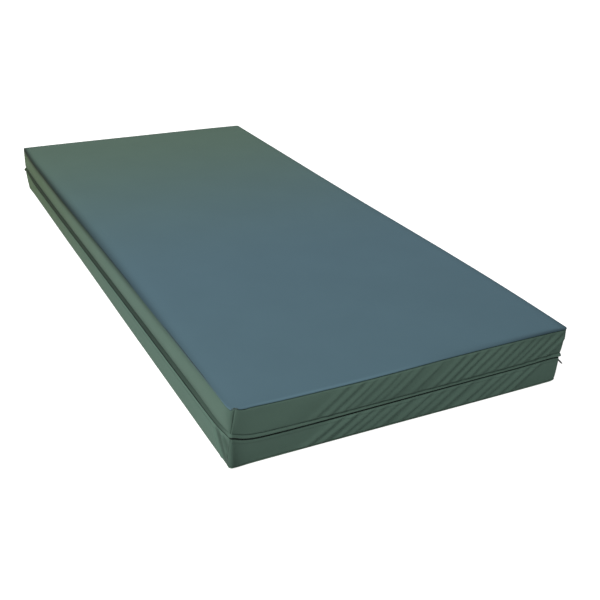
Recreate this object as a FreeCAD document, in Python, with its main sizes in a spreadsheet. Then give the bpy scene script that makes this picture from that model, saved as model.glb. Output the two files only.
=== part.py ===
"""A static pressure relief mattress: a castellated foam core in a zip-off two-part cover.

Origin at the middle of the underside, +Z up, +Y towards the head end, +X to the right-hand long side.
Millimetres throughout.
"""
import FreeCAD, Part

import math
import os
import re

import Sketcher

OUT = "parts"
os.makedirs(OUT, exist_ok=True)

doc = FreeCAD.newDocument("mattress")
sheet = doc.addObject("Spreadsheet::Sheet", "sizes")

# Driving dimensions, one named cell each.
SIZES = {
    # whole mattress
    "mattress_length": 1980,
    "mattress_width": 880,
    "mattress_height": 150,
    "corner_radius": 9,
    "top_edge_radius": 5,
    "base_edge_radius": 7.5,
    # cover
    "cover_cloth": 1,
    "seam_allowance": 9,
    "hem_height": 12,
    "flap_height": 9.5,
    "flap_above_zip": 3.5,
    "border_below_zip": 2.5,
    # zip
    "zip_height": 64,
    "teeth_height": 3.5,
    "teeth_thickness": 1.8,
    "parting_gap": 2,
    "tape_width": 15.5,
    "tape_thickness": 0.6,
    "stop_length": 2.5,
    "fitting_length": 7,
    # slider and pull
    "slider_length": 20,
    "slider_plate": 0.8,
    "slider_flange": 1.2,
    "slider_headroom": 0.8,
    "wedge_length": 4,
    "wedge_thickness": 1.2,
    "slider_corner": 2.5,
    "slider_rim": 0.3,
    "arch_length": 3,
    "arch_wall": 0.8,
    "arch_opening": 2,
    "arch_floor": 0.2,
    "arch_setback": 7.2,
    "link_wire": 1.2,
    "link_width": 7,
    "link_bend_radius": 1.5,
    "link_reach": 22,
    "tab_length": 22,
    "tab_width": 9,
    "tab_neck_width": 4.6,
    "tab_neck_length": 4,
    "tab_shoulder": 4,
    "tab_thickness": 2.2,
    "tab_corner": 2.5,
    "tab_rim": 0.5,
    "tab_overlap": 2,
    "tab_lean": 43,
    # foam
    "base_foam_height": 72,
    "rail_width": 80,
    "slot_width": 5,
    "slot_depth": 45,
    "cells_across": 8,
    "cells_along": 22,
    # fits
    "running_gap": 0.3,
    "hem_gap": 0.5,
}
for row, (alias, value) in enumerate(SIZES.items(), start=1):
    sheet.set(f"A{row}", alias)
    sheet.set(f"B{row}", str(value))
    sheet.setAlias(f"B{row}", alias)
doc.recompute()

# Places that follow from the driving dimensions, as expressions over the sheet. An inset is measured
# inwards from the cover's outer face.
SLIDER_HALF = "(teeth_thickness / 2 + running_gap + slider_plate)"
ZIP_INSET = f"(cover_cloth + running_gap + {SLIDER_HALF})"
TAPE_OUTER = f"({ZIP_INSET} - tape_thickness / 2)"
TAPE_INNER = f"({ZIP_INSET} + tape_thickness / 2)"
TEETH_OUTER = f"({ZIP_INSET} - teeth_thickness / 2)"
TEETH_INNER = f"({ZIP_INSET} + teeth_thickness / 2)"
CORE_INSET = f"({ZIP_INSET} + {SLIDER_HALF} + running_gap)"
SEAM_INNER = "(cover_cloth * 3)"

TEETH_TOP = "(zip_height + parting_gap / 2 + teeth_height)"
TEETH_BOTTOM = "(zip_height - parting_gap / 2 - teeth_height)"
SLIDER_REACH = "(parting_gap / 2 + teeth_height + slider_headroom + slider_flange)"
UPPER_HEM = f"(zip_height + {SLIDER_REACH} + hem_gap)"
LOWER_HEM = f"(zip_height - {SLIDER_REACH} - hem_gap - hem_height)"
FLAP_EDGE = "(zip_height + flap_above_zip)"
UPPER_EDGE = f"({FLAP_EDGE} + flap_height)"
LOWER_EDGE = "(zip_height - border_below_zip)"
TOP_SEAM = "(mattress_height - top_edge_radius)"

CORE_BOTTOM = "(cover_cloth + running_gap)"
CORE_TOP = "(mattress_height - cover_cloth - running_gap)"
CORE_SPLIT = f"({CORE_BOTTOM} + base_foam_height)"
INSERT_HALF = f"(mattress_width / 2 - {CORE_INSET} - rail_width)"

SLIDER_FRONT = "(-mattress_length / 2 + corner_radius + stop_length + running_gap)"
TEETH_START = f"({SLIDER_FRONT} + slider_length + running_gap)"


def on_sheet(expression):
    """The same expression with each driving dimension read from the sheet."""
    return re.sub(r"[a-z][a-z_]+", lambda word: f"sizes.{word.group()}" if word.group() in SIZES
                  else word.group(), expression)


def bind(obj, prop, expression):
    """Tie one property to an expression over the sheet."""
    obj.setExpression(prop, on_sheet(expression))


def value_of(expression):
    """The number that an expression over the sheet gives, for what can't be bound."""
    return float(sheet.evalExpression(on_sheet(expression)))


def origin_plane(body, role):
    """One of a body's own origin planes or axes, found by its role."""
    return next(f for f in body.Origin.OriginFeatures if f.Role == role)


def new_sketch(body, name, role="XY_Plane"):
    """A sketch on one of the body's own origin planes."""
    sketch = body.newObject("Sketcher::SketchObject", name)
    sketch.AttachmentSupport = [(origin_plane(body, role), "")]
    sketch.MapMode = "FlatFace"
    return sketch


def name_constraint(sketch, constraint, name, expression):
    """Add one dimension to a sketch and tie it to the sheet."""
    index = sketch.addConstraint(constraint)
    sketch.renameConstraint(index, name)
    bind(sketch, f"Constraints.{name}", expression)


def polygon(sketch, points):
    """A closed outline of straight lines whose corners follow (x, y) expressions over the sheet."""
    start = len(sketch.Geometry)
    count = len(points)
    corners = [FreeCAD.Vector(value_of(x), value_of(y), 0) for x, y in points]
    for i in range(count):
        sketch.addGeometry(Part.LineSegment(corners[i], corners[(i + 1) % count]))
    for i in range(count):
        follower = start + (i + 1) % count
        sketch.addConstraint(Sketcher.Constraint("Coincident", start + i, 2, follower, 1))
    for i, (x, y) in enumerate(points):
        at_x = Sketcher.Constraint("DistanceX", -1, 1, start + i, 1, corners[i].x)
        at_y = Sketcher.Constraint("DistanceY", -1, 1, start + i, 1, corners[i].y)
        name_constraint(sketch, at_x, f"x{start + i}", x)
        name_constraint(sketch, at_y, f"y{start + i}", y)


def rounded_rectangle(sketch, inset, radius):
    """The mattress's plan outline, moved inwards by an inset, with rounded corners."""
    start = len(sketch.Geometry)
    half_x = value_of(f"mattress_width / 2 - {inset}")
    half_y = value_of(f"mattress_length / 2 - {inset}")
    round_ = value_of(radius)
    centres = [(1, 1), (-1, 1), (-1, -1), (1, -1)]
    for turn, (sx, sy) in enumerate(centres):
        centre = FreeCAD.Vector(sx * (half_x - round_), sy * (half_y - round_), 0)
        circle = Part.Circle(centre, FreeCAD.Vector(0, 0, 1), round_)
        first = turn * math.pi / 2
        sketch.addGeometry(Part.ArcOfCircle(circle, first, first + math.pi / 2))
    for turn in range(4):
        this_arc = sketch.Geometry[start + turn]
        next_arc = sketch.Geometry[start + (turn + 1) % 4]
        sketch.addGeometry(Part.LineSegment(this_arc.EndPoint, next_arc.StartPoint))
    for turn in range(4):
        line = start + 4 + turn
        following = start + (turn + 1) % 4
        sketch.addConstraint(Sketcher.Constraint("Tangent", start + turn, 2, line, 1))
        sketch.addConstraint(Sketcher.Constraint("Tangent", line, 2, following, 1))
        direction = "Horizontal" if turn % 2 == 0 else "Vertical"
        sketch.addConstraint(Sketcher.Constraint(direction, line))
    for turn in range(1, 4):
        sketch.addConstraint(Sketcher.Constraint("Equal", start, start + turn))
    sketch.addConstraint(Sketcher.Constraint("Symmetric", start, 3, start + 2, 3, -1, 1))
    arc_radius = Sketcher.Constraint("Radius", start, round_)
    name_constraint(sketch, arc_radius, f"radius{start}", radius)
    across = Sketcher.Constraint("DistanceX", -1, 1, start, 3, half_x - round_)
    along = Sketcher.Constraint("DistanceY", -1, 1, start, 3, half_y - round_)
    name_constraint(sketch, across, f"across{start}", f"mattress_width / 2 - {inset} - {radius}")
    name_constraint(sketch, along, f"along{start}", f"mattress_length / 2 - {inset} - {radius}")


def pad(body, sketch, name, length):
    """Pad a sketch upwards by an expression."""
    feature = body.newObject("PartDesign::Pad", name)
    feature.Profile = sketch
    bind(feature, "Length", length)
    return feature


def edges_at(shape, height):
    """Names of the edges that lie wholly at one height."""
    names = []
    for index, edge in enumerate(shape.Edges, start=1):
        if abs(edge.BoundBox.ZMin - height) < 1e-6 and abs(edge.BoundBox.ZMax - height) < 1e-6:
            names.append(f"Edge{index}")
    return names


def face_at(shape, height):
    """Name of the flat face that lies at one height."""
    for index, face in enumerate(shape.Faces, start=1):
        if abs(face.BoundBox.ZMin - height) < 1e-6 and abs(face.BoundBox.ZMax - height) < 1e-6:
            return f"Face{index}"
    raise ValueError(f"no flat face at {height}")


def round_edges(body, base, name, height, radius):
    """Round all the edges of one level."""
    feature = body.newObject("PartDesign::Fillet", name)
    feature.Base = (base, edges_at(base.Shape, height))
    bind(feature, "Radius", radius)
    return feature


def rounded_block(name, inset, radius, bottom, top):
    """A block in the mattress's plan outline between two heights."""
    body = doc.addObject("PartDesign::Body", name)
    sketch = new_sketch(body, f"{name}_plan")
    rounded_rectangle(sketch, inset, radius)
    block = pad(body, sketch, f"{name}_pad", f"{top} - {bottom}")
    bind(body, "Placement.Base.z", bottom)
    doc.recompute()
    return body, block


def hollow(body, base, name, open_height):
    """Hollow a block to one cloth thickness, open at one level."""
    feature = body.newObject("PartDesign::Thickness", name)
    feature.Base = (base, [face_at(base.Shape, open_height)])
    feature.Mode = "Skin"
    feature.Join = "Arc"
    feature.Reversed = True
    bind(feature, "Value", "cover_cloth")
    doc.recompute()
    return feature


def ring(name, outer, inner, bottom, top):
    """A strip that runs once round the mattress, between two insets and two heights."""
    body = doc.addObject("PartDesign::Body", name)
    sketch = new_sketch(body, f"{name}_plan")
    rounded_rectangle(sketch, outer, f"(corner_radius - {outer})")
    rounded_rectangle(sketch, inner, f"(corner_radius - {inner})")
    pad(body, sketch, f"{name}_pad", f"{top} - {bottom}")
    bind(body, "Placement.Base.z", bottom)
    return body


def box(name, low, high):
    """A plain block between two corners given as expressions."""
    block = doc.addObject("Part::Box", name)
    for axis, prop, first, last in zip("xyz", ("Length", "Width", "Height"), low, high):
        bind(block, prop, f"({last}) - ({first})")
        bind(block, f"Placement.Base.{axis}", first)
    return block


def common(label, base, tool):
    """The part of one shape that lies in another."""
    piece = doc.addObject("Part::Common", label)
    piece.Base = base
    piece.Tool = tool
    return piece


def cut(label, base, *tools):
    """One shape with others taken away."""
    for index, tool in enumerate(tools, start=1):
        piece = doc.addObject("Part::Cut", label if index == len(tools) else f"{label}_cut{index}")
        piece.Base = base
        piece.Tool = tool
        base = piece
    return base


def group(label, members):
    """Several separate solids as one sub-part."""
    piece = doc.addObject("Part::Compound", label)
    piece.Links = members
    return piece


parts = []


def keep(*pieces):
    """List finished sub-parts for writing."""
    parts.extend(pieces)


# --- Cutting regions that share the cover into its sewn panels -------------------------------------

MARGIN = "mattress_height"
HALF_X = "mattress_width / 2"
HALF_Y = "mattress_length / 2"
DEEP = "corner_radius * 4"


def side_region(name, points):
    """A tall prism over one side of the mattress, mitred through the two corners."""
    body = doc.addObject("PartDesign::Body", name)
    sketch = new_sketch(body, f"{name}_plan")
    polygon(sketch, points)
    pad(body, sketch, f"{name}_pad", f"mattress_height + 2 * {MARGIN}")
    bind(body, "Placement.Base.z", f"-{MARGIN}")
    return body


def mitred(sign_x, sign_y, along_x):
    """Four corners of a mitred strip over one side: the outer pair lies off the mattress."""
    outer_x = f"({HALF_X} + {DEEP})"
    outer_y = f"({HALF_Y} + {DEEP})"
    inner_x = f"({HALF_X} - {DEEP})"
    inner_y = f"({HALF_Y} - {DEEP})"
    if along_x:
        return [(f"-{outer_x}", f"{sign_y} * {outer_y}"), (outer_x, f"{sign_y} * {outer_y}"),
                (inner_x, f"{sign_y} * {inner_y}"), (f"-{inner_x}", f"{sign_y} * {inner_y}")]
    return [(f"{sign_x} * {outer_x}", f"-{outer_y}"), (f"{sign_x} * {outer_x}", outer_y),
            (f"{sign_x} * {inner_x}", inner_y), (f"{sign_x} * {inner_x}", f"-{inner_y}")]


regions = {
    "front": side_region("region_front", mitred(0, -1, True)),
    "back": side_region("region_back", mitred(0, 1, True)),
    "left": side_region("region_left", mitred(-1, 0, False)),
    "right": side_region("region_right", mitred(1, 0, False)),
}

far_low = (f"-{HALF_X} - {MARGIN}", f"-{HALF_Y} - {MARGIN}")
far_high = (f"{HALF_X} + {MARGIN}", f"{HALF_Y} + {MARGIN}")


def level_box(name, bottom, top):
    """Everything between two heights."""
    return box(name, (*far_low, bottom), (*far_high, top))


# --- Upper cover: one panel over the top and its rounded edge, and four borders --------------------

shell, block = rounded_block("upper_shell", "0", "corner_radius", UPPER_EDGE, "mattress_height")
rounded = round_edges(shell, block, "upper_shell_edge",
                      value_of(f"mattress_height - {UPPER_EDGE}"), "top_edge_radius")
doc.recompute()
hollow(shell, rounded, "upper_shell_cloth", 0)
keep(common("cover_top_panel", shell, level_box("above_top_seam", TOP_SEAM, f"mattress_height + {MARGIN}")))
border_band = common("upper_border_band", shell, level_box("below_top_seam", "0", TOP_SEAM))
for side, region in regions.items():
    keep(common(f"upper_border_{side}", border_band, region))

keep(ring("top_seam_allowance", "cover_cloth", SEAM_INNER, f"({TOP_SEAM} - seam_allowance)", TOP_SEAM))


def corner_seams(label, bottom, top):
    """Four turned-in seam allowances, one beside each corner on the short borders."""
    seams = []
    for sx in (-1, 1):
        for sy in (-1, 1):
            corner_x = f"({HALF_X} - corner_radius)"
            far_x = f"({HALF_X} - corner_radius - seam_allowance)"
            near_y = f"({HALF_Y} - cover_cloth)"
            far_y = f"({HALF_Y} - {SEAM_INNER})"
            low_x = f"-{corner_x}" if sx < 0 else far_x
            high_x = f"-{far_x}" if sx < 0 else corner_x
            low_y = f"-{near_y}" if sy < 0 else far_y
            high_y = f"-{far_y}" if sy < 0 else near_y
            number = len(seams) + 1
            seams.append(box(f"{label}_{number}", (low_x, low_y, bottom), (high_x, high_y, top)))
    return group(label, seams)


keep(corner_seams("upper_corner_seams", f"({UPPER_HEM} + hem_height)", f"({TOP_SEAM} - seam_allowance)"))
keep(ring("zip_flap", "(-cover_cloth)", "cover_cloth", FLAP_EDGE, UPPER_EDGE))
keep(ring("upper_hem", "cover_cloth", TAPE_OUTER, UPPER_HEM, f"({UPPER_HEM} + hem_height)"))

# --- Lower cover: a base panel with a rounded edge, and four borders -------------------------------

tray, tray_block = rounded_block("lower_shell", "0", "corner_radius", "0", LOWER_EDGE)
tray_rounded = round_edges(tray, tray_block, "lower_shell_edge", 0, "base_edge_radius")
doc.recompute()
hollow(tray, tray_rounded, "lower_shell_cloth", value_of(LOWER_EDGE))
keep(common("base_panel", tray, level_box("below_base_seam", f"-{MARGIN}", "base_edge_radius")))
lower_band = common("lower_border_band", tray, level_box("above_base_seam", "base_edge_radius", MARGIN))
for side, region in regions.items():
    keep(common(f"lower_border_{side}", lower_band, region))

keep(ring("base_seam_allowance", "cover_cloth", SEAM_INNER, "base_edge_radius",
          "(base_edge_radius + seam_allowance)"))
keep(corner_seams("lower_corner_seams", "(base_edge_radius + seam_allowance)", LOWER_HEM))
keep(ring("lower_hem", "cover_cloth", TAPE_OUTER, LOWER_HEM, f"({LOWER_HEM} + hem_height)"))

# --- Zip: two tapes, two rows of teeth, stops, pin and retainer ------------------------------------

keep(ring("upper_zip_tape", TAPE_OUTER, TAPE_INNER, TEETH_TOP, f"({TEETH_TOP} + tape_width)"))
keep(ring("lower_zip_tape", TAPE_OUTER, TAPE_INNER, f"({TEETH_BOTTOM} - tape_width)", TEETH_BOTTOM))

# The slider parks clear of the teeth at both ends of its run, so the rows end just short of it.
fitting_x = f"({HALF_X} - corner_radius - fitting_length)"
front_corner = box("teeth_front_corner", (fitting_x, far_low[1], f"-{MARGIN}"),
                   (far_high[0], TEETH_START, MARGIN))
back_corner = box("teeth_back_corner", (f"({HALF_X} - corner_radius)", f"(-{TEETH_START})", f"-{MARGIN}"),
                  (far_high[0], far_high[1], MARGIN))
TEETH = {
    "upper": ("(zip_height + parting_gap / 2)", TEETH_TOP),
    "lower": (TEETH_BOTTOM, "(zip_height - parting_gap / 2)"),
}
for row_name, (bottom, top) in TEETH.items():
    whole = ring(f"{row_name}_teeth_ring", TEETH_OUTER, TEETH_INNER, bottom, top)
    keep(cut(f"{row_name}_zip_teeth", whole, front_corner, back_corner))
    keep(box(f"{row_name}_zip_stop",
             (f"({HALF_X} - {TEETH_INNER})", f"({SLIDER_FRONT} - running_gap - stop_length)", bottom),
             (f"({HALF_X} - {TEETH_OUTER})", f"({SLIDER_FRONT} - running_gap)", top)))

fitting_low = (fitting_x, f"(-{HALF_Y} + {TEETH_OUTER})")
fitting_high = (f"({fitting_x} + fitting_length)", f"(-{HALF_Y} + {TEETH_INNER})")
keep(box("zip_insertion_pin", (*fitting_low, "(zip_height + running_gap)"), (*fitting_high, TEETH_TOP)))
keep(box("zip_retainer_box", (*fitting_low, TEETH_BOTTOM), (*fitting_high, "zip_height")))

# --- Slider: two plates joined by a wedge at the mouth, with an arch for the pull ------------------


def side_profile(name, points, low_x, high_x):
    """A plate cut to a (y, z) outline, between two x places."""
    body = doc.addObject("PartDesign::Body", name)
    sketch = new_sketch(body, f"{name}_outline", "YZ_Plane")
    polygon(sketch, points)
    plate = pad(body, sketch, f"{name}_pad", f"({high_x}) - ({low_x})")
    bind(body, "Placement.Base.x", low_x)
    doc.recompute()
    return body, plate


def soften(body, base, name, edges, radius):
    """Round a list of edges of a feature."""
    feature = body.newObject("PartDesign::Fillet", name)
    feature.Base = (base, edges)
    bind(feature, "Radius", radius)
    doc.recompute()
    return feature


def edges_along_x(shape, wanted=lambda y, z: True):
    """Names of the straight edges that run along X at places (y, z) that are wanted."""
    names = []
    for index, edge in enumerate(shape.Edges, start=1):
        bounds = edge.BoundBox
        if bounds.YLength < 1e-6 and bounds.ZLength < 1e-6 and wanted(bounds.YMin, bounds.ZMin):
            names.append(f"Edge{index}")
    return names


def edges_at_x(shape, x):
    """Names of the edges that lie wholly at one x."""
    names = []
    for index, edge in enumerate(shape.Edges, start=1):
        if abs(edge.BoundBox.XMin - x) < 1e-6 and abs(edge.BoundBox.XMax - x) < 1e-6:
            names.append(f"Edge{index}")
    return names


zip_x = f"({HALF_X} - {ZIP_INSET})"
slider_low_x = f"({zip_x} - {SLIDER_HALF})"
slider_high_x = f"({zip_x} + {SLIDER_HALF})"
slider_back = f"({SLIDER_FRONT} + slider_length)"
slider_base = f"(zip_height - {SLIDER_REACH})"
slider_crest = f"(zip_height + {SLIDER_REACH})"
throat_half = f"({SLIDER_HALF} - slider_plate)"
throat_reach = f"({SLIDER_REACH} - slider_flange)"
slot_half = "(tape_thickness / 2 + running_gap)"
before_slider = f"({SLIDER_FRONT} - slider_length)"
beyond_slider = f"({slider_back} + slider_length)"

slider_outline = [(SLIDER_FRONT, slider_base), (slider_back, slider_base),
                  (slider_back, slider_crest), (SLIDER_FRONT, slider_crest)]
slider_block, slider_pad = side_profile("slider_block", slider_outline, slider_low_x, slider_high_x)
slider_round = soften(slider_block, slider_pad, "slider_corners", edges_along_x(slider_pad.Shape),
                      "slider_corner")
rims = edges_at_x(slider_round.Shape, 0) + edges_at_x(slider_round.Shape, value_of(f"2 * {SLIDER_HALF}"))
soften(slider_block, slider_round, "slider_rims", rims, "slider_rim")
throat = box("slider_throat",
             (f"({zip_x} - {throat_half})", before_slider, f"(zip_height - {throat_reach})"),
             (f"({zip_x} + {throat_half})", beyond_slider, f"(zip_height + {throat_reach})"))
slot = box("slider_slot",
           (f"({zip_x} - {slot_half})", before_slider, f"({slider_base} - slider_length)"),
           (f"({zip_x} + {slot_half})", beyond_slider, f"({slider_crest} + slider_length)"))
plates = cut("slider_plates", slider_block, throat, slot)
wedge_front = f"({SLIDER_FRONT} + slider_rim)"
wedge = box("slider_wedge",
            (f"({zip_x} - {throat_half})", wedge_front, "(zip_height - wedge_thickness / 2)"),
            (f"({zip_x} + {throat_half})", f"({wedge_front} + wedge_length)", "(zip_height + wedge_thickness / 2)"))

pivot_x = f"({slider_high_x} + arch_floor + arch_opening / 2)"
pivot_y = f"({SLIDER_FRONT} + arch_setback)"
arch_low_y = f"({pivot_y} - arch_length / 2)"
arch_reach = "(arch_opening / 2 + arch_wall)"
arch_outline = [(arch_low_y, f"(zip_height - {arch_reach})"),
                (f"({arch_low_y} + arch_length)", f"(zip_height - {arch_reach})"),
                (f"({arch_low_y} + arch_length)", f"(zip_height + {arch_reach})"),
                (arch_low_y, f"(zip_height + {arch_reach})")]
arch_block, arch_pad = side_profile("arch_block", arch_outline, slider_high_x, f"({pivot_x} + {arch_reach})")
arch_top = value_of(f"{pivot_x} + {arch_reach} - {slider_high_x}")
crown = [name for name in edges_at_x(arch_pad.Shape, arch_top)
         if arch_pad.Shape.getElement(name).BoundBox.YLength > value_of("arch_length / 2")]
soften(arch_block, arch_pad, "arch_crown", crown, "arch_wall")
arch_hole = doc.addObject("Part::Cylinder", "arch_hole")
bind(arch_hole, "Radius", "arch_opening / 2")
bind(arch_hole, "Height", "2 * arch_length")
ALONG_Y = FreeCAD.Rotation(FreeCAD.Vector(1, 0, 0), -90)
hole_start = FreeCAD.Vector(value_of(pivot_x), value_of(f"{pivot_y} - arch_length"), value_of("zip_height"))
arch_hole.Placement = FreeCAD.Placement(hole_start, ALONG_Y)
slider = doc.addObject("Part::MultiFuse", "zip_slider")
slider.Shapes = [plates, wedge, cut("slider_arch", arch_block, arch_hole)]
keep(slider)

# --- Pull: a wire link through the arch and a flat tab, hanging outwards under the flap -----------


def at_pull(obj):
    """Turn a piece drawn hanging straight down from the origin to the pull's place and lean."""
    pivot = FreeCAD.Vector(value_of(pivot_x), value_of(pivot_y), value_of("zip_height"))
    lean = FreeCAD.Rotation(FreeCAD.Vector(0, -1, 0), value_of("tab_lean"))
    obj.Placement = FreeCAD.Placement(pivot, lean)
    return obj


def link_bar(name, start, length, along_y):
    """One straight stretch of the link's wire, upwards or along Y, from a (y, z) place."""
    bar = doc.addObject("Part::Cylinder", name)
    bind(bar, "Radius", "link_wire / 2")
    bind(bar, "Height", length)
    place = FreeCAD.Vector(0, value_of(start[0]), value_of(start[1]))
    bar.Placement = FreeCAD.Placement(place, ALONG_Y if along_y else FreeCAD.Rotation())
    return bar


def link_bend(name, centre, start_angle):
    """A quarter turn of the wire in the YZ plane; its angle counts from straight down towards +Y."""
    bend = doc.addObject("Part::Torus", name)
    bind(bend, "Radius1", "link_bend_radius")
    bind(bend, "Radius2", "link_wire / 2")
    bend.Angle3 = 90
    stand = FreeCAD.Rotation(FreeCAD.Vector(0, 1, 0), 90)
    turn = FreeCAD.Rotation(FreeCAD.Vector(0, 0, 1), start_angle)
    place = FreeCAD.Vector(0, value_of(centre[0]), value_of(centre[1]))
    bend.Placement = FreeCAD.Placement(place, stand.multiply(turn))
    return bend


bend_y = "(link_width / 2 - link_bend_radius)"
link_parts = [
    link_bar("link_pivot", (f"-{bend_y}", "0"), f"2 * {bend_y}", True),
    link_bar("link_far_bar", (f"-{bend_y}", "-link_reach"), f"2 * {bend_y}", True),
    link_bar("link_leg_left", ("-link_width / 2", "-link_reach + link_bend_radius"),
             "link_reach - 2 * link_bend_radius", False),
    link_bar("link_leg_right", ("link_width / 2", "-link_reach + link_bend_radius"),
             "link_reach - 2 * link_bend_radius", False),
    link_bend("link_bend_1", (bend_y, "-link_reach + link_bend_radius"), 0),
    link_bend("link_bend_2", (bend_y, "-link_bend_radius"), 90),
    link_bend("link_bend_3", (f"-{bend_y}", "-link_bend_radius"), 180),
    link_bend("link_bend_4", (f"-{bend_y}", "-link_reach + link_bend_radius"), 270),
]
link = doc.addObject("Part::MultiFuse", "pull_link")
link.Shapes = link_parts
keep(at_pull(link))

tab_top = "(-link_reach + tab_overlap)"
neck_end = f"({tab_top} - tab_neck_length)"
tab_bottom = f"({tab_top} - tab_length)"
tab_right = [("tab_neck_width / 2", tab_top), ("tab_neck_width / 2", neck_end),
             ("tab_width / 2", f"({neck_end} - tab_shoulder)"), ("tab_width / 2", tab_bottom)]
tab_left = [(f"-{y}", z) for y, z in reversed(tab_right)]
tab_blank, tab_pad = side_profile("tab_blank", tab_right + tab_left, "-tab_thickness / 2", "tab_thickness / 2")
lowest = value_of(tab_bottom)
tab_round = soften(tab_blank, tab_pad, "tab_corners",
                   edges_along_x(tab_pad.Shape, lambda y, z: z < lowest + 1e-6), "tab_corner")
tab_rims = edges_at_x(tab_round.Shape, 0) + edges_at_x(tab_round.Shape, value_of("tab_thickness"))
soften(tab_blank, tab_round, "tab_rims", tab_rims, "tab_rim")
tab_link = doc.addObject("Part::MultiFuse", "tab_link_hole")
tab_link.Shapes = link_parts
keep(at_pull(cut("pull_tab", tab_blank, tab_link)))

# --- Foam core: a firm base, two side rails and a castellated insert --------------------------------

core, core_block = rounded_block("core_block", CORE_INSET, "corner_radius", CORE_BOTTOM, CORE_TOP)
round_edges(core, core_block, "core_block_edge", 0, "(base_edge_radius - cover_cloth)")
doc.recompute()
keep(common("foam_base", core, level_box("core_below_split", f"-{MARGIN}", CORE_SPLIT)))
for side, sign in (("left", -1), ("right", 1)):
    inner = INSERT_HALF
    outer = f"({HALF_X} + {MARGIN})"
    low_x = f"-{outer}" if sign < 0 else inner
    high_x = f"-{inner}" if sign < 0 else outer
    rail_region = box(f"rail_region_{side}", (low_x, far_low[1], CORE_SPLIT),
                      (high_x, far_high[1], f"mattress_height + {MARGIN}"))
    keep(common(f"foam_rail_{side}", core, rail_region))

insert = doc.addObject("PartDesign::Body", "foam_insert")
insert_half_y = f"({HALF_Y} - {CORE_INSET})"
outline = new_sketch(insert, "insert_outline")
polygon(outline, [(f"-{INSERT_HALF}", f"-{insert_half_y}"), (INSERT_HALF, f"-{insert_half_y}"),
                  (INSERT_HALF, insert_half_y), (f"-{INSERT_HALF}", insert_half_y)])
insert_height = f"({CORE_TOP} - {CORE_SPLIT})"
pad(insert, outline, "insert_pad", insert_height)
bind(insert, "Placement.Base.z", CORE_SPLIT)
doc.recompute()


def slots(name, axis, half_span, half_run, cells):
    """A row of equal slots cut down into the insert, one between each two cells."""
    before = insert.Shape.Volume
    pitch = f"(2 * {half_span} / {cells})"
    low = f"(-{half_span} + {pitch} - slot_width / 2)"
    high = f"(-{half_span} + {pitch} + slot_width / 2)"
    sketch = new_sketch(insert, f"{name}_outline")
    bind(sketch, "AttachmentOffset.Base.z", insert_height)
    run = f"({half_run} + slot_width)"
    corners = [(low, f"-{run}"), (high, f"-{run}"), (high, run), (low, run)]
    polygon(sketch, corners if axis == "X_Axis" else [(y, x) for x, y in corners])
    pocket = insert.newObject("PartDesign::Pocket", f"{name}_pocket")
    pocket.Profile = sketch
    bind(pocket, "Length", "slot_depth")
    doc.recompute()
    pattern = insert.newObject("PartDesign::LinearPattern", f"{name}_pattern")
    pattern.Originals = [pocket]
    pattern.Direction = (origin_plane(insert, axis), [""])
    bind(pattern, "Length", f"{pitch} * ({cells} - 2)")
    bind(pattern, "Occurrences", f"{cells} - 1")
    insert.Tip = pattern
    doc.recompute()
    if insert.Shape.Volume >= before:
        raise ValueError(f"{name} removed nothing")


slots("lengthways_slots", "X_Axis", INSERT_HALF, insert_half_y, "cells_across")
slots("crossways_slots", "Y_Axis", insert_half_y, INSERT_HALF, "cells_along")
keep(insert)

# --- Check and write --------------------------------------------------------------------------------

doc.recompute()
for obj in doc.Objects:
    if "Invalid" in obj.State or "Error" in obj.State:
        raise ValueError(f"{obj.Label} did not rebuild: {obj.State}")
for piece in parts:
    if piece.Shape.isNull() or not piece.Shape.isValid() or not piece.Shape.Solids:
        raise ValueError(f"{piece.Label} has no valid solid")
    piece.Shape.exportStep(f"{OUT}/{piece.Label}.step")
    bounds = piece.Shape.BoundBox
    print(f"{piece.Label:22s} solids {len(piece.Shape.Solids)} volume {piece.Shape.Volume:14.2f}  "
          f"x {bounds.XMin:8.2f} {bounds.XMax:8.2f}  y {bounds.YMin:8.2f} {bounds.YMax:8.2f}  "
          f"z {bounds.ZMin:7.2f} {bounds.ZMax:7.2f}")
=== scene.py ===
import math

import bpy
import numpy as np
from mathutils import Matrix, Vector


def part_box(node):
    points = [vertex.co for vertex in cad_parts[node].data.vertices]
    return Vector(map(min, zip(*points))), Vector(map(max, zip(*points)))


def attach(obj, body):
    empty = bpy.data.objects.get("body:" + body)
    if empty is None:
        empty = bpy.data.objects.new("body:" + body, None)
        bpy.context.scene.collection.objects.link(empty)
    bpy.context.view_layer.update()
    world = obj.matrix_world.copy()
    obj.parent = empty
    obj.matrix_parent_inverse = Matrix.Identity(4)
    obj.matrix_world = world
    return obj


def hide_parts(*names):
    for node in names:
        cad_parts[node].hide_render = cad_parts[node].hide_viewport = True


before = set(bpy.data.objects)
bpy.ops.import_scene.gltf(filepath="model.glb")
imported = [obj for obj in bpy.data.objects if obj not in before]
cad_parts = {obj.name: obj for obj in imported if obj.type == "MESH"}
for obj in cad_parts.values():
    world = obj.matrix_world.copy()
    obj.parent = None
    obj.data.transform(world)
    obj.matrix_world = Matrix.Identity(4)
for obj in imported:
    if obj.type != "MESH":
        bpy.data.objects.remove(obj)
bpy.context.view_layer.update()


# ---------------------------------------------------------------------------------------------
# The room: a pale studio floor under a dim white sky, one soft lamp high in front on the left,
# a wide one overhead, a weak one low on the left, and the camera by the foot end's left corner.

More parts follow.
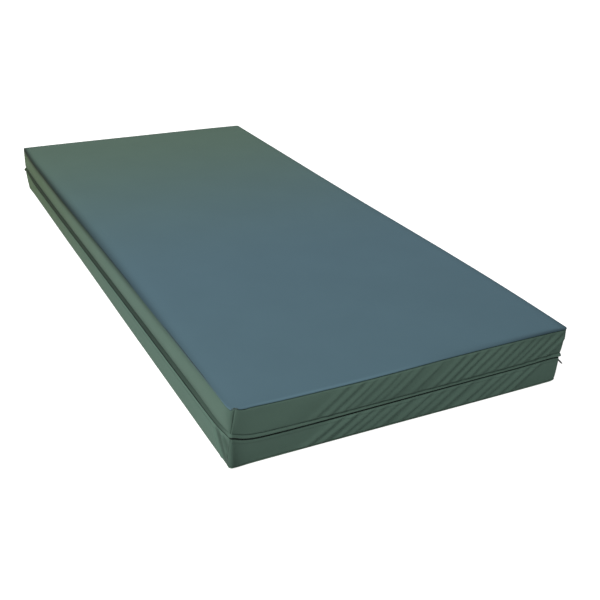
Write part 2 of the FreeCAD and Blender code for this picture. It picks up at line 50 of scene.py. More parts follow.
CAMERA_PLACE = Vector((-1.0276, -2.3691, 1.1251))
CAMERA_AIM = Vector((-0.0814, -0.5990, 0.1500))
CAMERA_ROLL = math.radians(2.02)
LENS_MM = 53.13
FLOOR_HALF = 30.0
FLOOR_COLOUR = (0.50, 0.50, 0.50, 1)
FLOOR_GLOW = 0.90
SKY_LIGHT = 0.325
KEY_LAMP = {"place": (-4.6, -2.4, 3.6), "size": 1.4, "power": 318.0, "colour": (1.0, 0.97, 0.94)}
TOP_LAMP = {"place": (0.4, 1.0, 3.0), "size": 2.8, "power": 25.0}
SIDE_LAMP = {"place": (-3.0, 2.2, 1.3), "size": 1.5, "power": 3.0, "colour": (1.0, 1.0, 0.5)}


def add_lamp(name, place, size, power, colour=(1, 1, 1)):
    """A square soft lamp that faces the middle of the mattress."""
    light = bpy.data.lights.new(name, "AREA")
    light.size = size
    light.energy = power
    light.color = colour
    lamp = bpy.data.objects.new(name, light)
    lamp.location = place
    lamp.rotation_euler = (-Vector(place)).to_track_quat("-Z", "Y").to_euler()
    bpy.context.scene.collection.objects.link(lamp)
    return lamp


def math_node(tree, operation, *values):
    """The output of a math node; each value is another node's output or a plain number."""
    node = tree.nodes.new("ShaderNodeMath")
    node.operation = operation
    for socket, value in zip(node.inputs, values):
        if isinstance(value, bpy.types.NodeSocket):
            tree.links.new(value, socket)
        else:
            socket.default_value = value
    return node.outputs[0]


def seen_ray(tree):
    """1 on rays that the camera, a reflection or a clear material sends out, else 0."""
    path = tree.nodes.new("ShaderNodeLightPath").outputs
    mirrored = math_node(tree, "MAXIMUM", path["Is Glossy Ray"], path["Is Transmission Ray"])
    return math_node(tree, "MAXIMUM", path["Is Camera Ray"], mirrored)


def make_floor():
    """A flat pale floor; a faint glow that only the eye sees takes the open floor to white."""
    mesh = bpy.data.meshes.new("floor")
    s = FLOOR_HALF
    mesh.from_pydata([(-s, -s, 0), (s, -s, 0), (s, s, 0), (-s, s, 0)], [], [(0, 1, 2, 3)])
    floor = bpy.data.objects.new("floor", mesh)
    bpy.context.scene.collection.objects.link(floor)
    material = bpy.data.materials.new("pale_floor")
    material.use_nodes = True
    tree = material.node_tree
    shader = tree.nodes["Principled BSDF"]
    shader.inputs["Base Color"].default_value = FLOOR_COLOUR
    shader.inputs["Roughness"].default_value = 0.9
    shader.inputs["Specular IOR Level"].default_value = 0.0
    shader.inputs["Emission Color"].default_value = (1, 1, 1, 1)
    glow = math_node(tree, "MULTIPLY", seen_ray(tree), FLOOR_GLOW)
    tree.links.new(glow, shader.inputs["Emission Strength"])
    mesh.materials.append(material)


def make_sky():
    """A white sky: full white to the eye, weaker as a light."""
    world = bpy.data.worlds.new("white_sky")
    bpy.context.scene.world = world
    world.use_nodes = True
    tree = world.node_tree
    background = tree.nodes["Background"]
    background.inputs["Color"].default_value = (1, 1, 1, 1)
    strength = math_node(tree, "MULTIPLY_ADD", seen_ray(tree), 1.0 - SKY_LIGHT, SKY_LIGHT)
    tree.links.new(strength, background.inputs["Strength"])


def make_camera():
    """The camera looks at its aim with a slight roll."""
    data = bpy.data.cameras.new("camera")
    data.lens = LENS_MM
    camera = bpy.data.objects.new("camera", data)
    look = (CAMERA_AIM - CAMERA_PLACE).to_track_quat("-Z", "Y").to_matrix().to_4x4()
    camera.matrix_world = Matrix.Translation(CAMERA_PLACE) @ look @ Matrix.Rotation(CAMERA_ROLL, 4, "Z")
    bpy.context.scene.collection.objects.link(camera)
    bpy.context.scene.camera = camera


make_floor()
make_sky()
make_camera()
add_lamp("key_lamp", **KEY_LAMP)
add_lamp("top_lamp", **TOP_LAMP)
add_lamp("side_lamp", **SIDE_LAMP)
bpy.context.scene.view_settings.view_transform = "Standard"


# ---------------------------------------------------------------------------------------------
# Foam base: a firm slab of open-cell foam the size of the whole mattress, cut with a band
# knife, its lower edge eased. The rails and the soft insert are glued on it.

FOAM_BASE_COLOUR = (0.42, 0.48, 0.53, 1)
FOAM_STEP = 0.016
FOAM_EDGE = 0.006
FOAM_WANDER = 0.0005
SQUARE_INSET = 0.040


def walk_round(half_width, half_length, radius, step, arc_steps):
    """One lap of a rectangle with rounded corners, anticlockwise from the front left corner.

    A side is half of one corner's arc, a straight run and half of the next arc. Each station
    keeps its arc's centre and outward normal, so a point is centre + (radius - inset) * normal.
    """
    halves = np.array([half_width, half_length])
    signs = np.array([(-1, -1), (1, -1), (1, 1), (-1, 1)])
    centres = signs * (halves - radius)
    bend = np.arange(arc_steps) / arc_steps * math.pi / 4
    centre, angle, counts = [], [], []
    for side in range(4):
        facing = (side - 1) * math.pi / 2
        here, following = centres[side], centres[(side + 1) % 4]
        steps = round(np.abs(following - here).max() / step)
        share = np.arange(steps)[:, None] / steps
        centre += [np.tile(here, (arc_steps, 1)), here + share * (following - here)]
        centre += [np.tile(following, (arc_steps, 1))]
        angle += [facing - math.pi / 4 + bend, np.full(steps, facing), facing + bend]
        counts.append(steps + 2 * arc_steps)
    centre, angle = np.concatenate(centre), np.concatenate(angle)
    normal = np.stack([np.cos(angle), np.sin(angle)], 1)
    edge = centre + radius * normal
    strides = np.linalg.norm(np.roll(edge, -1, 0) - edge, axis=1)
    distance = np.concatenate([[0], np.cumsum(strides)[:-1]])
    return {
        "centre": centre, "normal": normal, "radius": radius, "counts": counts,
        "distance": distance, "length": strides.sum(), "halves": halves,
    }


def square_loop(lap, inset):
    """The lap's stations spread evenly along a sharp-cornered rectangle, inset from the edge."""
    corners = np.array([(-1, -1), (1, -1), (1, 1), (-1, 1)]) * (lap["halves"] - inset)
    sides = []
    for side, steps in enumerate(lap["counts"]):
        share = np.arange(steps)[:, None] / steps
        sides.append(corners[side] * (1 - share) + corners[(side + 1) % 4] * share)
    return np.concatenate(sides)


def ring_at(lap, inset, square_at=SQUARE_INSET):
    """The lap moved inward by inset. Past four fifths of the corner radius it goes over, in a
    straight line for each station, to the sharp rectangle that lies square_at inside."""
    turned = min(inset, 0.8 * lap["radius"])
    ring = lap["centre"] + (lap["radius"] - turned) * lap["normal"]
    share = (inset - turned) / (square_at - turned)
    return ring * (1 - share) + square_loop(lap, square_at) * share


def grid_quads(ids):
    """Quads of a grid of point numbers, facing up where x grows by column and y by row."""
    return np.stack([ids[:-1, :-1], ids[:-1, 1:], ids[1:, 1:], ids[1:, :-1]], -1).reshape(-1, 4)


def band_faces(loops, stations, closed=True):
    """Quads between loops of points that follow each other, wound to face outward."""
    ids = np.arange(loops * stations).reshape(loops, stations)
    if closed:
        ids = np.concatenate([ids, ids[:, :1]], 1)
    return grid_quads(ids)


def cap_grid(lap, loop_start, next_id):
    """Point numbers of a grid that fills a square loop, its rim being the loop's own points."""
    across, along = lap["counts"][:2]
    loop = loop_start + np.arange(2 * (across + along) + 1)
    loop[-1] = loop_start
    ids = np.zeros((along + 1, across + 1), int)
    ids[0, :] = loop[: across + 1]
    ids[:, -1] = loop[across : across + along + 1]
    ids[-1, ::-1] = loop[across + along : 2 * across + along + 1]
    ids[::-1, 0] = loop[2 * across + along :]
    ids[1:-1, 1:-1] = next_id + np.arange((along - 1) * (across - 1)).reshape(along - 1, across - 1)
    return ids


def cap_points(lap, inset):
    """The inner points of the grid that fills the rectangle at inset, row by row."""
    across, along = lap["counts"][:2]
    half_x, half_y = lap["halves"] - inset
    x = np.linspace(-half_x, half_x, across + 1)[1:-1]
    y = np.linspace(-half_y, half_y, along + 1)[1:-1]
    return np.stack(np.meshgrid(x, y), -1).reshape(-1, 2)


def make_piece(name, points, quads, cloth_uv=None, seam=None):
    """A smooth-shaded mesh object from arrays of points and quads. It may carry a flat map in
    metres and a mask of painted shade that is 1 on points down in a seam."""
    mesh = bpy.data.meshes.new(name)
    mesh.vertices.add(len(points))
    mesh.vertices.foreach_set("co", np.asarray(points, np.float32).ravel())
    mesh.loops.add(quads.size)
    mesh.loops.foreach_set("vertex_index", quads.astype(np.int32).ravel())
    mesh.polygons.add(len(quads))
    mesh.polygons.foreach_set("loop_start", np.arange(len(quads), dtype=np.int32) * 4)
    mesh.polygons.foreach_set("loop_total", np.full(len(quads), 4, np.int32))
    mesh.polygons.foreach_set("use_smooth", np.ones(len(quads), bool))
    if cloth_uv is not None:
        layer = mesh.uv_layers.new(name="cloth")
        layer.data.foreach_set("uv", np.asarray(cloth_uv, np.float32)[quads.ravel()].ravel())
    if seam is not None:
        mesh.attributes.new("seam", "FLOAT", "POINT").data.foreach_set("value", np.asarray(seam, np.float32))
    mesh.update(calc_edges=True)
    mesh.validate()
    piece = bpy.data.objects.new(name, mesh)
    bpy.context.scene.collection.objects.link(piece)
    return piece


def read_points(piece):
    """The piece's points, a row of x, y and z for each."""
    points = np.empty(len(piece.data.vertices) * 3)
    piece.data.vertices.foreach_get("co", points)
    return points.reshape(-1, 3)


def bell(value, width):
    """A bell curve, 1 at 0."""
    return np.exp(-((value / width) ** 2))


def ramp(value, start, end):
    """0 up to the start, 1 from the end on, straight between them; it may run either way."""
    return np.clip((value - start) / (end - start), 0, 1)


def soft_noise(x, y, reach, seed):
    """Smooth values from about -1 to 1: a sum of six long waves that cross at seeded angles."""
    draw = np.random.default_rng(seed)
    total = 0
    for _ in range(6):
        heading, phase = draw.uniform(0, 2 * math.pi, 2)
        pace = 2 * math.pi / (reach * draw.uniform(0.7, 1.6))
        total = total + np.sin((x * math.cos(heading) + y * math.sin(heading)) * pace + phase)
    return total / 3.5


def foam_block(name, low, high, radius, bottom_edge, top_edge, seed):
    """A closed block of cut foam: rings climb from the underside's square loop round the lower
    edge, up the sides and over the top edge, and a grid fills each end. Each edge is a quarter
    circle: inset = edge * (1 - cos a) and height = edge * (1 - sin a)."""
    centre, half = (low + high) / 2, (high - low) / 2
    lap = walk_round(half.x, half.y, radius, FOAM_STEP, 3)
    turn = np.linspace(0, math.pi / 2, 5)
    square_at = radius + 0.02
    lower = [(square_at, low.z), (square_at / 2, low.z)]
    lower += [(bottom_edge * (1 - math.sin(a)), low.z + bottom_edge * (1 - math.cos(a))) for a in turn]
    sides = [(0.0, z) for z in np.linspace(low.z + bottom_edge, high.z - top_edge, 7)[1:-1]]
    upper = [(top_edge * (1 - math.cos(a)), high.z - top_edge * (1 - math.sin(a))) for a in turn]
    upper += [(square_at / 2, high.z), (square_at, high.z)]
    rings = []
    for inset, z in lower + sides + upper:
        ring = ring_at(lap, inset, square_at)
        rings.append(np.column_stack([ring, np.full(len(ring), z)]))
    inner = cap_points(lap, square_at)
    bottom = np.column_stack([inner, np.full(len(inner), low.z)])
    top = np.column_stack([inner, np.full(len(inner), high.z)])
    points = np.concatenate(rings + [bottom, top])
    points[:, :2] += (centre.x, centre.y)
    wander = soft_noise(points[:, 0] + points[:, 2], points[:, 1], 0.25, seed)
    points[:, 2] -= np.abs(wander) * FOAM_WANDER * np.sign(points[:, 2] - centre.z)
    stations = len(lap["centre"])
    last = (len(rings) - 1) * stations
    bottom_ids = cap_grid(lap, 0, last + stations)
    top_ids = cap_grid(lap, last, last + stations + len(inner))
    quads = [band_faces(len(rings), stations), grid_quads(bottom_ids)[:, ::-1], grid_quads(top_ids)]
    return make_piece(name, points, np.concatenate(quads))


def new_group(name, inputs, outputs):
    """An empty node group with its sockets, given as (name, kind) pairs."""
    group = bpy.data.node_groups.new(name, "ShaderNodeTree")
    for sockets, way in ((inputs, "INPUT"), (outputs, "OUTPUT")):
        for label, kind in sockets:
            group.interface.new_socket(label, in_out=way, socket_type=f"NodeSocket{kind}")
    return group, group.nodes.new("NodeGroupInput").outputs, group.nodes.new("NodeGroupOutput").inputs


def add_texture(tree, kind, place, **settings):
    """A texture node laid out by the given coordinates, with its inputs set by name."""
    node = tree.nodes.new(kind)
    tree.links.new(place, node.inputs["Vector"])
    for name, value in settings.items():
        node.inputs[name].default_value = value
    return node


def add_tint(tree, colour, shade):
    """A colour scaled by a shade."""
    tint = tree.nodes.new("ShaderNodeVectorMath")
    tint.operation = "SCALE"
    tree.links.new(colour, tint.inputs[0])
    tree.links.new(shade, tint.inputs["Scale"])
    return tint.outputs[0]


SURFACE = (("Colour", "Color"), ("Roughness", "Float"), ("Height", "Float"))


def cut_foam_group():
    """Open-cell foam: round pores of two sizes with painted shade where they open, over cloudy colour."""
    group, outside, inside = new_group("cut_foam", [("Colour", "Color")], SURFACE)
    place = group.nodes.new("ShaderNodeTexCoord").outputs["Object"]
    pores = add_texture(group, "ShaderNodeTexVoronoi", place, Scale=620).outputs["Distance"]
    fine = add_texture(group, "ShaderNodeTexNoise", place, Scale=1400).outputs["Fac"]
    cloud = add_texture(group, "ShaderNodeTexNoise", place, Scale=9, Detail=5).outputs["Fac"]
    pit = math_node(group, "MULTIPLY_ADD", pores, 0.45, 0.74)
    patch = math_node(group, "MULTIPLY_ADD", cloud, 0.24, 0.87)
    shade = math_node(group, "MULTIPLY", pit, patch)
    group.links.new(add_tint(group, outside["Colour"], shade), inside["Colour"])
    group.links.new(math_node(group, "MULTIPLY_ADD", fine, 0.15, 0.85), inside["Roughness"])
    group.links.new(math_node(group, "MULTIPLY_ADD", fine, 0.5, pores), inside["Height"])
    return group


def group_material(name, group, bump_mm, strength=0.6, settings=(), shader_settings=()):
    """A material whose colour, roughness and bump come from a surface group."""
    material = bpy.data.materials.new(name)
    material.use_nodes = True
    tree = material.node_tree
    shader = tree.nodes["Principled BSDF"]
    for label, value in dict(shader_settings).items():
        shader.inputs[label].default_value = value
    surface = tree.nodes.new("ShaderNodeGroup")
    surface.node_tree = group
    for label, value in dict(settings).items():
        surface.inputs[label].default_value = value
    bump = tree.nodes.new("ShaderNodeBump")
    bump.inputs["Strength"].default_value = strength
    bump.inputs["Distance"].default_value = bump_mm / 1000
    tree.links.new(surface.outputs["Colour"], shader.inputs["Base Color"])
    tree.links.new(surface.outputs["Roughness"], shader.inputs["Roughness"])
    tree.links.new(surface.outputs["Height"], bump.inputs["Height"])
    tree.links.new(bump.outputs[0], shader.inputs["Normal"])
    return material


cut_foam = cut_foam_group()


def foam_material(name, colour):
    """Matt foam of one colour, with the cut foam group's pores as a shallow bump."""
    return group_material(name, cut_foam, 0.6, 0.5, {"Colour": colour}, {"Specular IOR Level": 0.15})


def dress_foam(piece, material, node):
    """Foam rides on the core and stands for its plain block."""
    piece.data.materials.append(material)
    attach(piece, "foam_core")
    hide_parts(node)


def squeeze_corner(piece, low, high, sign, push):
    """Move one upright edge of a block by push along x and y where the cover is pulled tight
    round it: most at the floor, nothing at four fifths of the height."""
    points = read_points(piece)
    middle, half = (low + high) / 2, (high - low) / 2
    corner = np.array([middle.x + sign[0] * half.x, middle.y + sign[1] * half.y])
    reach = np.hypot(*(points[:, :2] - corner).T)
    share = ramp(points[:, 2], low.z + 0.8 * (high.z - low.z), low.z) ** 0.8
    points[:, :2] += (bell(reach, 0.036) * share)[:, None] * np.array(push)
    piece.data.vertices.foreach_set("co", points.ravel())


base_low, base_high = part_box("foam_base")
foam_slab = foam_block("foam_base_slab", base_low, base_high, 0.009, FOAM_EDGE, 0.002, seed=3)
squeeze_corner(foam_slab, base_low, base_high, (1, -1), (-0.0060, 0.0))
squeeze_corner(foam_slab, base_low, base_high, (-1, 1), (0.0060, -0.0060))
dress_foam(foam_slab, foam_material("base_foam", FOAM_BASE_COLOUR), "foam_base")


# ---------------------------------------------------------------------------------------------
# Foam rails: two firm strips glued along the long edges of the base, so that a person sitting
# on the side doesn't roll off. Plain sawn foam, a shade bluer than the base.

FOAM_RAIL_COLOUR = (0.36, 0.46, 0.55, 1)
RIM_RADIUS = 0.0050
SAG_REACH = 0.035
FOAM_SLACK = 0.0005
RIM_SAMPLES = 4096

half_width, half_length, top_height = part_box("cover_top_panel")[1]
FRONT_LENGTH = 2 * (half_width - RIM_RADIUS) + math.pi / 2 * RIM_RADIUS
SIDE_LENGTH = 2 * (half_length - RIM_RADIUS) + math.pi / 2 * RIM_RADIUS
LAP_LENGTH = 2 * (FRONT_LENGTH + SIDE_LENGTH)
FRONT_LEFT = 0.0
FRONT_RIGHT = FRONT_LENGTH
BACK_RIGHT = FRONT_LENGTH + SIDE_LENGTH
BACK_LEFT = 2 * FRONT_LENGTH + SIDE_LENGTH


def past(distance, place):
    """Signed distance along the rim from a place, the short way round."""
    return (distance - place + LAP_LENGTH / 2) % LAP_LENGTH - LAP_LENGTH / 2


def along_rim(distance, stops, soften=0.03):
    """Values that run smoothly round the rim through given stops of (distance, value).

    The straight runs between the stops are blurred with a bell curve as wide as soften."""
    at, value = np.array(sorted(stops)).T
    even = np.arange(RIM_SAMPLES) * LAP_LENGTH / RIM_SAMPLES
    dense = np.interp(even, at, value, period=LAP_LENGTH)
    blur = bell(past(even, 0.0), soften * math.sqrt(2))
    blurred = np.fft.ifft(np.fft.fft(dense) * np.fft.fft(blur / blur.sum())).real
    return np.interp(distance, even, blurred, period=LAP_LENGTH)


def edge_sag(distance):
    """How far the tight cover presses the foam's top edge down, round the rim: most along the
    front between its corners and along the left side."""
    stops = [
        (0.020, 0.0016), (0.066, 0.0028), (0.111, 0.0044), (0.205, 0.0051), (0.303, 0.0054), (0.405, 0.0044),
        (0.511, 0.0022), (0.623, 0.0013), (0.740, 0.0002), (FRONT_RIGHT - 0.03, 0.0002),
        (FRONT_RIGHT + 0.3, -0.0008), (BACK_RIGHT, -0.0018), (BACK_RIGHT + 0.4, -0.0006), (BACK_LEFT, 0.0014),
        (BACK_LEFT + 0.2, 0.0042), (BACK_LEFT + 0.6, 0.0042), (BACK_LEFT + 1.2, 0.0028),
        (LAP_LENGTH - 0.02, 0.0018),
    ]
    return along_rim(distance, stops, 0.02)


def foam_sag(x, y):
    """How far the lying surface sinks at a place: each edge's sag, fading inward as a bell."""
    along_x = np.where(y < 0, x + half_width, BACK_RIGHT + half_width - x)
    along_y = np.where(x > 0, FRONT_RIGHT + y + half_length, BACK_LEFT + half_length - y)
    near_y = bell(np.maximum(half_length - np.abs(y), 0), SAG_REACH)
    near_x = bell(np.maximum(half_width - np.abs(x), 0), SAG_REACH)
    total = near_y * edge_sag(along_x) + near_x * edge_sag(along_y)
    return total / np.maximum(near_x + near_y, 1.0)


def press_down(piece, low, high):
    """Move a foam block's points down by the sag, most at its top and not at all at its foot."""
    points = read_points(piece)
    share = (points[:, 2] - low.z) / (high.z - low.z)
    points[:, 2] -= (1.05 * foam_sag(points[:, 0], points[:, 1]) + FOAM_SLACK) * share
    piece.data.vertices.foreach_set("co", points.ravel())
    piece.data.update()


rail_foam = foam_material("rail_foam", FOAM_RAIL_COLOUR)
for hand, seed in (("left", 11), ("right", 12)):
    rail_low, rail_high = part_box(f"foam_rail_{hand}")
    rail = foam_block(f"foam_side_rail_{hand}", rail_low, rail_high, 0.002, 0.001, 0.003, seed)
    press_down(rail, rail_low, rail_high)
    dress_foam(rail, rail_foam, f"foam_rail_{hand}")


# ---------------------------------------------------------------------------------------------
# Foam insert: the soft cream layer that a person lies on. Its top is slotted both ways with a
# profile saw into square cells that give one by one, and each cell's top edge is eased.

FOAM_INSERT_COLOUR = (0.74, 0.67, 0.47, 1)
CELLS_ACROSS, CELLS_ALONG = 8, 22
SLOT_WIDTH, SLOT_DEPTH = 0.005, 0.045
CELL_EASE = 0.005
CELL_CROWN = 0.0006
WALL_LEAN = 0.0004


def slotted_profile(half, cells):
    """Stations and depths across a row of cells. Each cell runs from slot floor to slot floor:
    the floor, a wall that leans a hair, an eased edge and a slightly crowned top."""
    pitch = 2 * half / cells
    reach = (pitch - SLOT_WIDTH) / 2
    place, depth = [pitch / 2, reach + WALL_LEAN], [SLOT_DEPTH, SLOT_DEPTH]
    for a in np.linspace(0, math.pi / 2, 4):
        place.append(reach - CELL_EASE * (1 - math.cos(a)))
        depth.append(CELL_EASE * (1 - math.sin(a)))
    for share in (0.75, 0.5, 0.25):
        place.append((reach - CELL_EASE) * share)
        depth.append(-CELL_CROWN * (1 - share**2))
    cell = np.concatenate([-np.array(place), [0.0], place[::-1]])[:-1]
    sunk = np.concatenate([depth, [-CELL_CROWN], depth[::-1]])[:-1]
    centres = (np.arange(cells) - (cells - 1) / 2) * pitch
    return np.append((centres[:, None] + cell).ravel(), half), np.append(np.tile(sunk, cells), SLOT_DEPTH)


def castellated_block(name, low, high):
    """A closed block: its top is the higher of two crossed slot profiles' depths, its sides
    drop straight to the underside, which is one grid more."""
    half, centre = (high - low) / 2, (high + low) / 2
    x, sunk_x = slotted_profile(half.x, CELLS_ACROSS)
    y, sunk_y = slotted_profile(half.y, CELLS_ALONG)
    for place, sunk in ((x, sunk_x), (y, sunk_y)):
        place[1], place[-2] = place[0] + 1e-4, place[-1] - 1e-4
        sunk[[0, 1, -2, -1]] = sunk[2]
    gx, gy = np.meshgrid(x, y)
    depth = np.maximum(sunk_x[None, :], sunk_y[:, None])
    top = np.stack([gx, gy, high.z - depth - CELL_CROWN], -1).reshape(-1, 3)
    bottom = np.stack([gx, gy, np.full(gx.shape, low.z)], -1).reshape(-1, 3)
    points = np.concatenate([top, bottom])
    points[:, :2] += (centre.x, centre.y)
    ids = np.arange(gx.size).reshape(gx.shape)
    rim = np.concatenate([ids[0, :-1], ids[:-1, -1], ids[-1, :0:-1], ids[:0:-1, 0]])
    after = np.roll(rim, -1)
    wall = np.stack([rim + gx.size, after + gx.size, after, rim], 1)
    quads = np.concatenate([grid_quads(ids), grid_quads(ids + gx.size)[:, ::-1], wall])
    return make_piece(name, points, quads)


insert_low, insert_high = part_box("foam_insert")
insert = castellated_block("foam_cell_insert", insert_low, insert_high)
press_down(insert, insert_low, insert_high)
insert.data.polygons.foreach_set("use_smooth", np.zeros(len(insert.data.polygons), bool))
dress_foam(insert, foam_material("insert_foam", FOAM_INSERT_COLOUR), "foam_insert")


# ---------------------------------------------------------------------------------------------
# Lower cover, base panel: the underside of the cover, one piece of coated cloth whose edge
# rolls up round the foam to the seam that joins it to the lower border.

CLOTH_THICKNESS = 0.0009
# The base cloth is the border cloth, painted a little lighter against the shade on its rolled edge near the
# floor.
BASE_COLOUR = (0.100, 0.162, 0.120, 1)
BACKING_COLOUR = (0.11, 0.15, 0.135, 1)
PANEL_STEP = 0.010
BASE_ROLL = 0.0080
BASE_SEAM_DROP = 0.0025
SEAM_TUCK = 0.0026
FLOOR_CLEARANCE = 0.0002
# Where, along y, the painted tint towards the head end begins and is complete.
HEADWARD_PAINTED_TINT = (-0.45, 1.05)
# Strength of the painted shade that the seam mask lays over the cloth's colour.
SEAM_PAINTED_SHADE = 0.85
BASE_FLAT = (0.892, 1.992)

base_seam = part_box("base_panel")[1].z - BASE_SEAM_DROP
panel_lap = walk_round(half_width, half_length, RIM_RADIUS, PANEL_STEP, 5)


def corner_peak(distance, corner, reach_before, reach_after):
    """1 at a corner, falling off as a soft exponential, with its own reach on each side."""
    gap = past(distance, corner)
    reach = np.where(gap < 0, reach_before, reach_after)
    return np.exp(1 - np.sqrt(1 + (gap / reach) ** 2))


def knit_group():
    """Polyurethane-coated knit: rows of fine loops under the coat, faint clouding and a fine
    grain in the gloss, laid out by the cloth's own map. A painted tint turns the colour to a
    second one towards the head end, for the greener light there, and painted shade darkens
    the cloth down in its seams."""
    choices = [("Colour", "Color"), ("Head Colour", "Color")]
    choices += [(label, "Float") for label in ("Clouding", "Gloss", "Loop Size")]
    group, outside, inside = new_group("coated_knit", choices, SURFACE)
    cloth_map = group.nodes.new("ShaderNodeUVMap")
    cloth_map.uv_map = "cloth"
    flat = cloth_map.outputs[0]
    axes = group.nodes.new("ShaderNodeSeparateXYZ")
    group.links.new(flat, axes.inputs[0])
    waves = []
    for axis, turns in (("X", 2 * math.pi), ("Y", 1.6 * math.pi)):
        pace = math_node(group, "DIVIDE", axes.outputs[axis], outside["Loop Size"])
        waves.append(math_node(group, "SINE", math_node(group, "MULTIPLY", pace, turns)))
    loops = math_node(group, "MULTIPLY", *waves)
    grain = add_texture(group, "ShaderNodeTexNoise", flat, Scale=900, Detail=2).outputs["Fac"]
    cloud = add_texture(group, "ShaderNodeTexNoise", flat, Scale=5, Detail=6, Roughness=0.55).outputs["Fac"]
    spot = group.nodes.new("ShaderNodeSeparateXYZ")
    group.links.new(group.nodes.new("ShaderNodeTexCoord").outputs["Object"], spot.inputs[0])
    headward = group.nodes.new("ShaderNodeMapRange")
    headward.interpolation_type = "SMOOTHSTEP"
    headward.inputs["From Min"].default_value, headward.inputs["From Max"].default_value = HEADWARD_PAINTED_TINT
    group.links.new(spot.outputs["Y"], headward.inputs["Value"])
    # A painted tint: the colour turns towards the head colour, for the greener light at that end.
    painted_tint = group.nodes.new("ShaderNodeMix")
    painted_tint.data_type = "RGBA"
    group.links.new(headward.outputs[0], painted_tint.inputs[0])
    group.links.new(outside["Colour"], painted_tint.inputs[6])
    group.links.new(outside["Head Colour"], painted_tint.inputs[7])
    # Painted shade: the seam mask darkens the colour in seams, folds and hollows.
    seam = group.nodes.new("ShaderNodeAttribute")
    seam.attribute_name = "seam"
    sunk = math_node(group, "MULTIPLY_ADD", seam.outputs["Fac"], -SEAM_PAINTED_SHADE, 1.0)
    drift = math_node(group, "MULTIPLY", math_node(group, "SUBTRACT", cloud, 0.5), outside["Clouding"])
    shade = math_node(group, "MULTIPLY", math_node(group, "ADD", drift, 1.0), sunk)
    group.links.new(add_tint(group, painted_tint.outputs[2], shade), inside["Colour"])
    group.links.new(math_node(group, "MULTIPLY_ADD", grain, 0.16, outside["Gloss"]), inside["Roughness"])
    group.links.new(math_node(group, "MULTIPLY_ADD", loops, 0.35, grain), inside["Height"])
    return group


coated_knit = knit_group()


def cloth_material(
    name, colour, head_colour=None, clouding=0.16, rough=0.5, loop=0.0011, bump=0.05, specular=0.02
):
    """Coated or bare knit of one colour, from the coated knit group."""
    settings = {
        "Colour": colour, "Head Colour": head_colour or colour, "Clouding": clouding,
        "Gloss": rough, "Loop Size": loop,
    }
    return group_material(name, coated_knit, bump, 0.6, settings, {"Specular IOR Level": specular})


def panel_cloth(name, outward, height, roll, level, facing, shade, tuck=None):
    """A flat panel whose edge comes out of its seam and rolls over to the flat.

    outward and height give the seam's place round the rim. Rings leave the groove (inset
    SEAM_TUCK, up 0) and follow a quarter of an ellipse (inset roll * (1 - cos a), up s + (1 - s)
    * sin a) to the flat, then square up, and a grid fills the middle. facing is 1 for a panel
    that looks up and -1 for one that looks down. shade(distance, travel) gives the seam mask
    from the way round the rim and the way travelled from the groove. tuck(distance) moves the
    rim along x and y."""
    lap = panel_lap
    bow, seam_z = outward(lap["distance"])[:, None] * lap["normal"], height(lap["distance"])
    if tuck:
        bow = bow + tuck(lap["distance"])
    rows = [(SEAM_TUCK, 0.0), (SEAM_TUCK * 0.5, 0.03), (SEAM_TUCK * 0.12, 0.13)]
    rows += [(roll * (1 - math.cos(a)), 0.16 + 0.84 * math.sin(a)) for a in np.linspace(0.14, math.pi / 2, 7)]
    rows += [(roll + (SQUARE_INSET - roll) * share, 1.0) for share in (0.07, 0.18, 0.36, 0.62, 1.0)]
    rings, maps, travel = [], [], [np.zeros(len(bow))]
    for inset, up in rows:
        plan = ring_at(lap, inset) + bow * (1 - inset / SQUARE_INSET)
        flat = level(plan)
        z = flat + (seam_z - flat) * (1 - up)
        rings.append(np.column_stack([plan, z]))
        maps.append(plan + np.abs(flat - z)[:, None] * lap["normal"])
    travel += [np.linalg.norm(b - a, axis=1) for a, b in zip(rings[:-1], rings[1:])]
    inner = cap_points(lap, SQUARE_INSET)
    rings.append(np.column_stack([inner, level(inner)]))
    maps.append(inner)
    # Painted shade: the mask darkens the cloth along the seam; on the top a painted highlight also lightens
    # the roll.
    sunk = shade(lap["distance"], np.cumsum(travel, 0))
    seam = np.concatenate([sunk.ravel(), np.zeros(len(inner))])
    stations, loops = len(bow), len(rows)
    ids = cap_grid(lap, (loops - 1) * stations, loops * stations)
    quads = np.concatenate([band_faces(loops, stations), grid_quads(ids)])
    if facing < 0:
        quads = quads[:, ::-1]
    return make_piece(name, np.concatenate(rings), quads, np.concatenate(maps), seam)


def give_cloth_thickness(piece, outer, backing):
    """Cloth is coated outside and bare knit inside; the wall grows inward from the surface."""
    piece.data.materials.append(outer)
    piece.data.materials.append(backing)
    wall = piece.modifiers.new("cloth_wall", "SOLIDIFY")
    wall.thickness = CLOTH_THICKNESS
    wall.offset = -1
    wall.material_offset = 1


def dress_cloth(piece, body, node, flat, rests_on):
    """Cloth rides on its half of the cover and stands for its plain solid. flat, its size laid
    flat, and rests_on, what it rests on, are not used."""
    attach(piece, body)
    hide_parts(node)


def left_bow(distance):
    """How far the whole left side leans out: the foam has settled outward towards the head, and
    the cover draws it in right at the back left corner."""
    stops = [
        (0.02, 0.0), (BACK_LEFT - 0.05, 0.0), (BACK_LEFT - 0.01, -0.0034), (BACK_LEFT + 0.02, -0.0022),
        (BACK_LEFT + 0.14, 0.0026), (BACK_LEFT + 0.55, 0.0038), (BACK_LEFT + 1.00, 0.0024),
        (BACK_LEFT + 1.45, 0.0004),
    ]
    return along_rim(distance, stops, 0.03)


